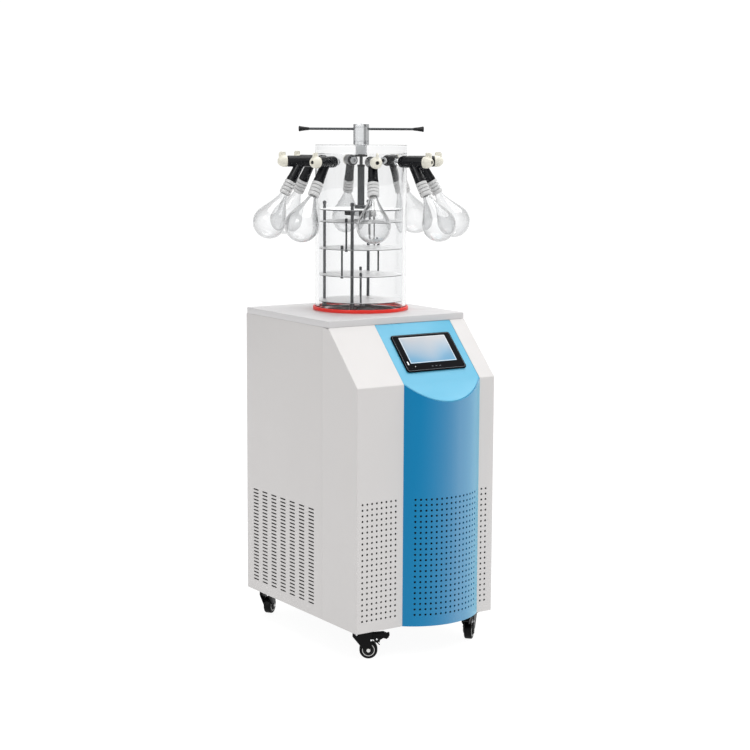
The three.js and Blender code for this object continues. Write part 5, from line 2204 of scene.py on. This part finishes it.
    def _pedal(self) -> Form:
        """Brake pedal: a knuckle, a cranked tread with a rolled toe, two webs, two lobes and their hooks.

        Returns:
            The pedal.
        """
        half, wall = 0.0111, 0.0025
        tread = [
            *arc((0, 0), 0.0045, 110, 340, 10), (0.006, -0.0018), (0.0115, -0.0013), (0.036, 0.0011),
            (0.038, 0.0008), (0.0455, -0.0033), *arc((0.0508, -0.0012), 0.0034, 215, 440, 10),
            (0.0463, 0.0003), (0.0385, 0.0042), (0.036, 0.0046), (0.0115, 0.0023), (0.005, 0.003),
        ]
        web = [
            (0.0, 0.0), (0.0, -0.0045), (0.0055, -0.014), (0.026, -0.0155), (0.0281, -0.0151),
            (0.0372, -0.0098), (0.0463, -0.0121), (0.0515, -0.0075), (0.0525, -0.0035), (0.0455, -0.0015),
            (0.038, 0.0025), (0.0115, 0.0005),
        ]
        lobe = [
            (0.009, -0.004), (0.0105, -0.014), (0.0125, -0.0195), (0.017, -0.0225), (0.0225, -0.022),
            (0.0265, -0.019), (0.029, -0.014), (0.03, -0.006),
        ]
        hook = [
            (0.02, -0.0195), (0.0185, -0.0215), (0.023, -0.0265), (0.0269, -0.029), (0.0282, -0.0273),
            (0.025, -0.0245), (0.0225, -0.021),
        ]
        plates = ((web, half - wall, half), (lobe, 0.01105, 0.0128), (hook, 0.01115, 0.0126))
        forms = [self._hinged(tread, -half, half)]
        for way in (-1, 1):
            forms += [self._hinged(outline, way * near, way * far) for outline, near, far in plates]
        return merged(*forms)

    def _pedal_rivets(self) -> Form:
        """Bright rivet in each lobe of a pedal."""
        place = (self.hinge[0] + 0.019, self.hinge[1] - 0.0126)
        return self._both(rivet(0.0026, 0.0126, 0.0133, 0.0123), place)


# ------------------------------ services
@dataclass
class Services(Assembly):
    """Power inlet and vacuum port on the back."""

    flange_width: float = 0.058
    flange_height: float = 0.04

    def build(self) -> None:
        """Makes both."""
        self._inlet()
        self._port()

    def _fitted(self, name: str, form: Form, look: Look, node: str) -> None:
        """Adds a piece that is drawn about the middle of its CAD node, on the back."""
        middle = sum(corners(node), Vector()) / 2
        self.shop.piece(name, moved(form, on_back(middle.x, self.layout.back, middle.z)), look, node)

    def _inlet(self) -> None:
        """Power inlet: a flanged socket with three blades."""
        width, height = self.flange_width, self.flange_height
        flange = Plate(width, height, 0.004, 0.0021, edge=0.0006).form()
        flange = moved(flange, shift(-width / 2, -height / 2, 0.0002))
        shell = combined(flange, block((-0.024, -0.015, -0.024), (0.024, 0.015, 0.001)), Operation.JOIN)
        recess = [(-0.02, -0.011), (0.02, -0.011), (0.02, 0.007), (0.016, 0.011), (-0.016, 0.011),
                  (-0.02, 0.007)]
        shell = combined(shell, moved(extruded(recess, 0.04), shift(0, 0, -0.019)), Operation.CUT)
        self._fitted("inlet_shell", shell, Look.PLASTIC, "power_inlet")
        blades = [
            soften(block((x - 0.001, -0.003, -0.0195), (x + 0.001, 0.003, -0.007)), 0.0003)
            for x in (-0.012, 0, 0.012)
        ]
        self._fitted("inlet_blades", merged(*blades), Look.STEEL, "power_inlet")

    def _port(self) -> None:
        """Vacuum port: a turned pipe with a collar and a clamping flange."""
        profile = [
            (0.0125, -0.008), (0.0145, -0.008), (0.0145, 0.0003), (0.0198, 0.0003), (0.02, 0.0006),
            (0.02, 0.0028), (0.0195, 0.0033), (0.0152, 0.0033), (0.0145, 0.0042), (0.0145, 0.0276),
            (0.0151, 0.0284), (0.0196, 0.0309), (0.02, 0.0313), (0.02, 0.0336), (0.0196, 0.034),
            (0.013, 0.034), (0.0125, 0.0335),
        ]
        self._fitted("port_pipe", lathe(profile, 64, True), Look.STEEL, "vacuum_port")


# ------------------------------ studio
@dataclass
class Studio:
    """Plain pale floor, soft light and the camera. Its angles are in degrees.

    The walls are places round the room with their brightness. Each soft box has its start and stop
    round the room, its lowest and highest level, and its glow.
    """

    location: tuple[float, float, float] = (-2.7724133, -4.1627986, 1.456266)
    yaw: float = 33.74211419
    pitch: float = 8.18529729
    roll: float = 0.29882647
    lens: float = 83.916
    sensor: float = 36.0
    room_light: float = 0.8
    backdrop: float = 1.05
    walls: tuple[Point, ...] = (
        (0.001, 0.6), (0.244, 0.6), (0.278, 0.06), (0.35, 0.06), (0.367, 0.28), (0.528, 0.28),
        (0.583, 0.45), (0.736, 0.45), (0.772, 0.12), (0.875, 0.12), (0.914, 0.6), (0.999, 0.6),
    )
    boxes: tuple[tuple[float, ...], ...] = ((0.03, 0.11, 0.35, 0.72, 6.0),)

    def build(self) -> None:
        """Makes floor, light and camera."""
        bpy.context.scene.view_settings.view_transform = "Standard"
        self._floor()
        self._world()
        self._lights()
        self._camera()

    def _floor(self) -> None:
        """Large pale floor."""
        form = bmesh.new()
        bmesh.ops.create_grid(form, x_segments=1, y_segments=1, size=30.0)
        mesh = stored("floor", form)
        material = bpy.data.materials.new("floor")
        material.use_nodes = True
        set_inputs(
            material.node_tree.nodes["Principled BSDF"], Base_Color=rgba((0.08, 0.08, 0.08)), Roughness=0.9,
            Emission_Color=rgba((1.0, 1.0, 1.0)), Emission_Strength=0.94,
        )
        mesh.materials.append(material)
        linked("floor", mesh)

    def _world(self) -> None:
        """Evenly lit white room before a plain white background."""
        world = bpy.data.worlds.new("studio")
        bpy.context.scene.world = world
        world.use_nodes = True
        nodes = Nodes(world.node_tree)
        background = world.node_tree.nodes["Background"]
        set_inputs(background, Color=rgba((1.0, 1.0, 1.0)))
        path = nodes.add("LightPath").outputs
        seen = nodes.math("MAXIMUM", path["Is Camera Ray"], path["Is Transmission Ray"])
        even = nodes.math("MAXIMUM", nodes.math("MULTIPLY", seen, self.backdrop), self.room_light)
        bounced = nodes.math("SUBTRACT", path["Is Glossy Ray"], path["Is Transmission Ray"], clamp=True)
        extra = nodes.math("MULTIPLY", bounced, nodes.math("SUBTRACT", self._surround(nodes), even))
        nodes.link(nodes.math("ADD", even, extra), background.inputs["Strength"])

    def _window(self, nodes: Nodes, value: Socket, low: float, high: float, soft: float) -> Socket:
        """Gives 1 where a value lies between two limits, 0 outside, and fades softly inside them."""
        rise = nodes.band(value, low, low + soft, 0.0, 1.0)
        return nodes.math("MULTIPLY", rise, nodes.band(value, high - soft, high, 1.0, 0.0))

    def _surround(self, nodes: Nodes) -> Socket:
        """Soft boxes and the gaps between them, as shiny surfaces mirror them.

        Args:
            nodes: The helper of the world's node tree.

        Returns:
            How bright the room is in each direction.
        """
        split = nodes.add("SeparateXYZ")
        nodes.link(nodes.add("TexCoord").outputs["Generated"], split.inputs[0])
        bearing = nodes.math("ARCTAN2", split.outputs["Y"], split.outputs["X"])
        round_room = nodes.band(bearing, -math.pi, math.pi, 0.0, 1.0)
        ramp = nodes.add("ValToRGB")
        stops = ramp.color_ramp.elements
        for place, bright in self.walls:
            stops.new(place).color = rgba((bright, bright, bright))
        stops.remove(stops[0])
        stops.remove(stops[-1])
        nodes.link(round_room, ramp.inputs[0])
        height = split.outputs["Z"]
        walls = nodes.mix(nodes.band(height, 0.8, 0.92, 0.0, 1.0), ramp.outputs[0], rgba((0.45, 0.45, 0.45)))
        level = nodes.math("MULTIPLY", walls, 2.0)
        for start, stop, low, top, glow in self.boxes:
            wide = self._window(nodes, round_room, start, stop, 0.008)
            tall = self._window(nodes, height, low, top, 0.04)
            box = nodes.math("MULTIPLY", nodes.math("MULTIPLY", wide, tall), glow)
            level = nodes.math("ADD", level, box)
        return level

    def _lights(self) -> None:
        """Soft key light from high in front, as even over the floor as over the machine."""
        light = bpy.data.lights.new("key", "SUN")
        light.energy = 2.2
        light.angle = math.radians(60)
        lamp = linked("key", light)
        lamp.rotation_euler = Vector((-0.45, 0.12, -1.5)).to_track_quat("-Z", "Y").to_euler()

    def _camera(self) -> None:
        """Camera that looks down a little from the front left."""
        yaw, pitch, roll = (math.radians(angle) for angle in (self.yaw, self.pitch, self.roll))
        forward = Vector((math.sin(yaw) * math.cos(pitch), math.cos(yaw) * math.cos(pitch), -math.sin(pitch)))
        right = Vector((math.cos(yaw), -math.sin(yaw), 0.0))
        up = right.cross(forward)
        across = math.cos(roll) * right + math.sin(roll) * up
        upwards = -math.sin(roll) * right + math.cos(roll) * up
        data = bpy.data.cameras.new("camera")
        data.lens = self.lens
        data.sensor_width = self.sensor
        data.clip_end = 100.0
        camera = linked("camera", data)
        camera.matrix_world = basis(across, upwards, -forward, self.location)
        bpy.context.scene.camera = camera


def main() -> None:
    """Builds the looks of the machine around its frame."""
    logging.basicConfig(level=logging.INFO, format="%(name)s: %(message)s")
    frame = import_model()
    layout = Layout.measured()
    shop = Workshop(frame["record"])
    for kind in (Cabinet, Console, Chamber, Rack, Press, Manifold, Casters, Services):
        kind(shop, layout).build()
        log.info("built the %s", kind.__name__.lower())
    Studio().build()


if __name__ == "__main__":
    main()
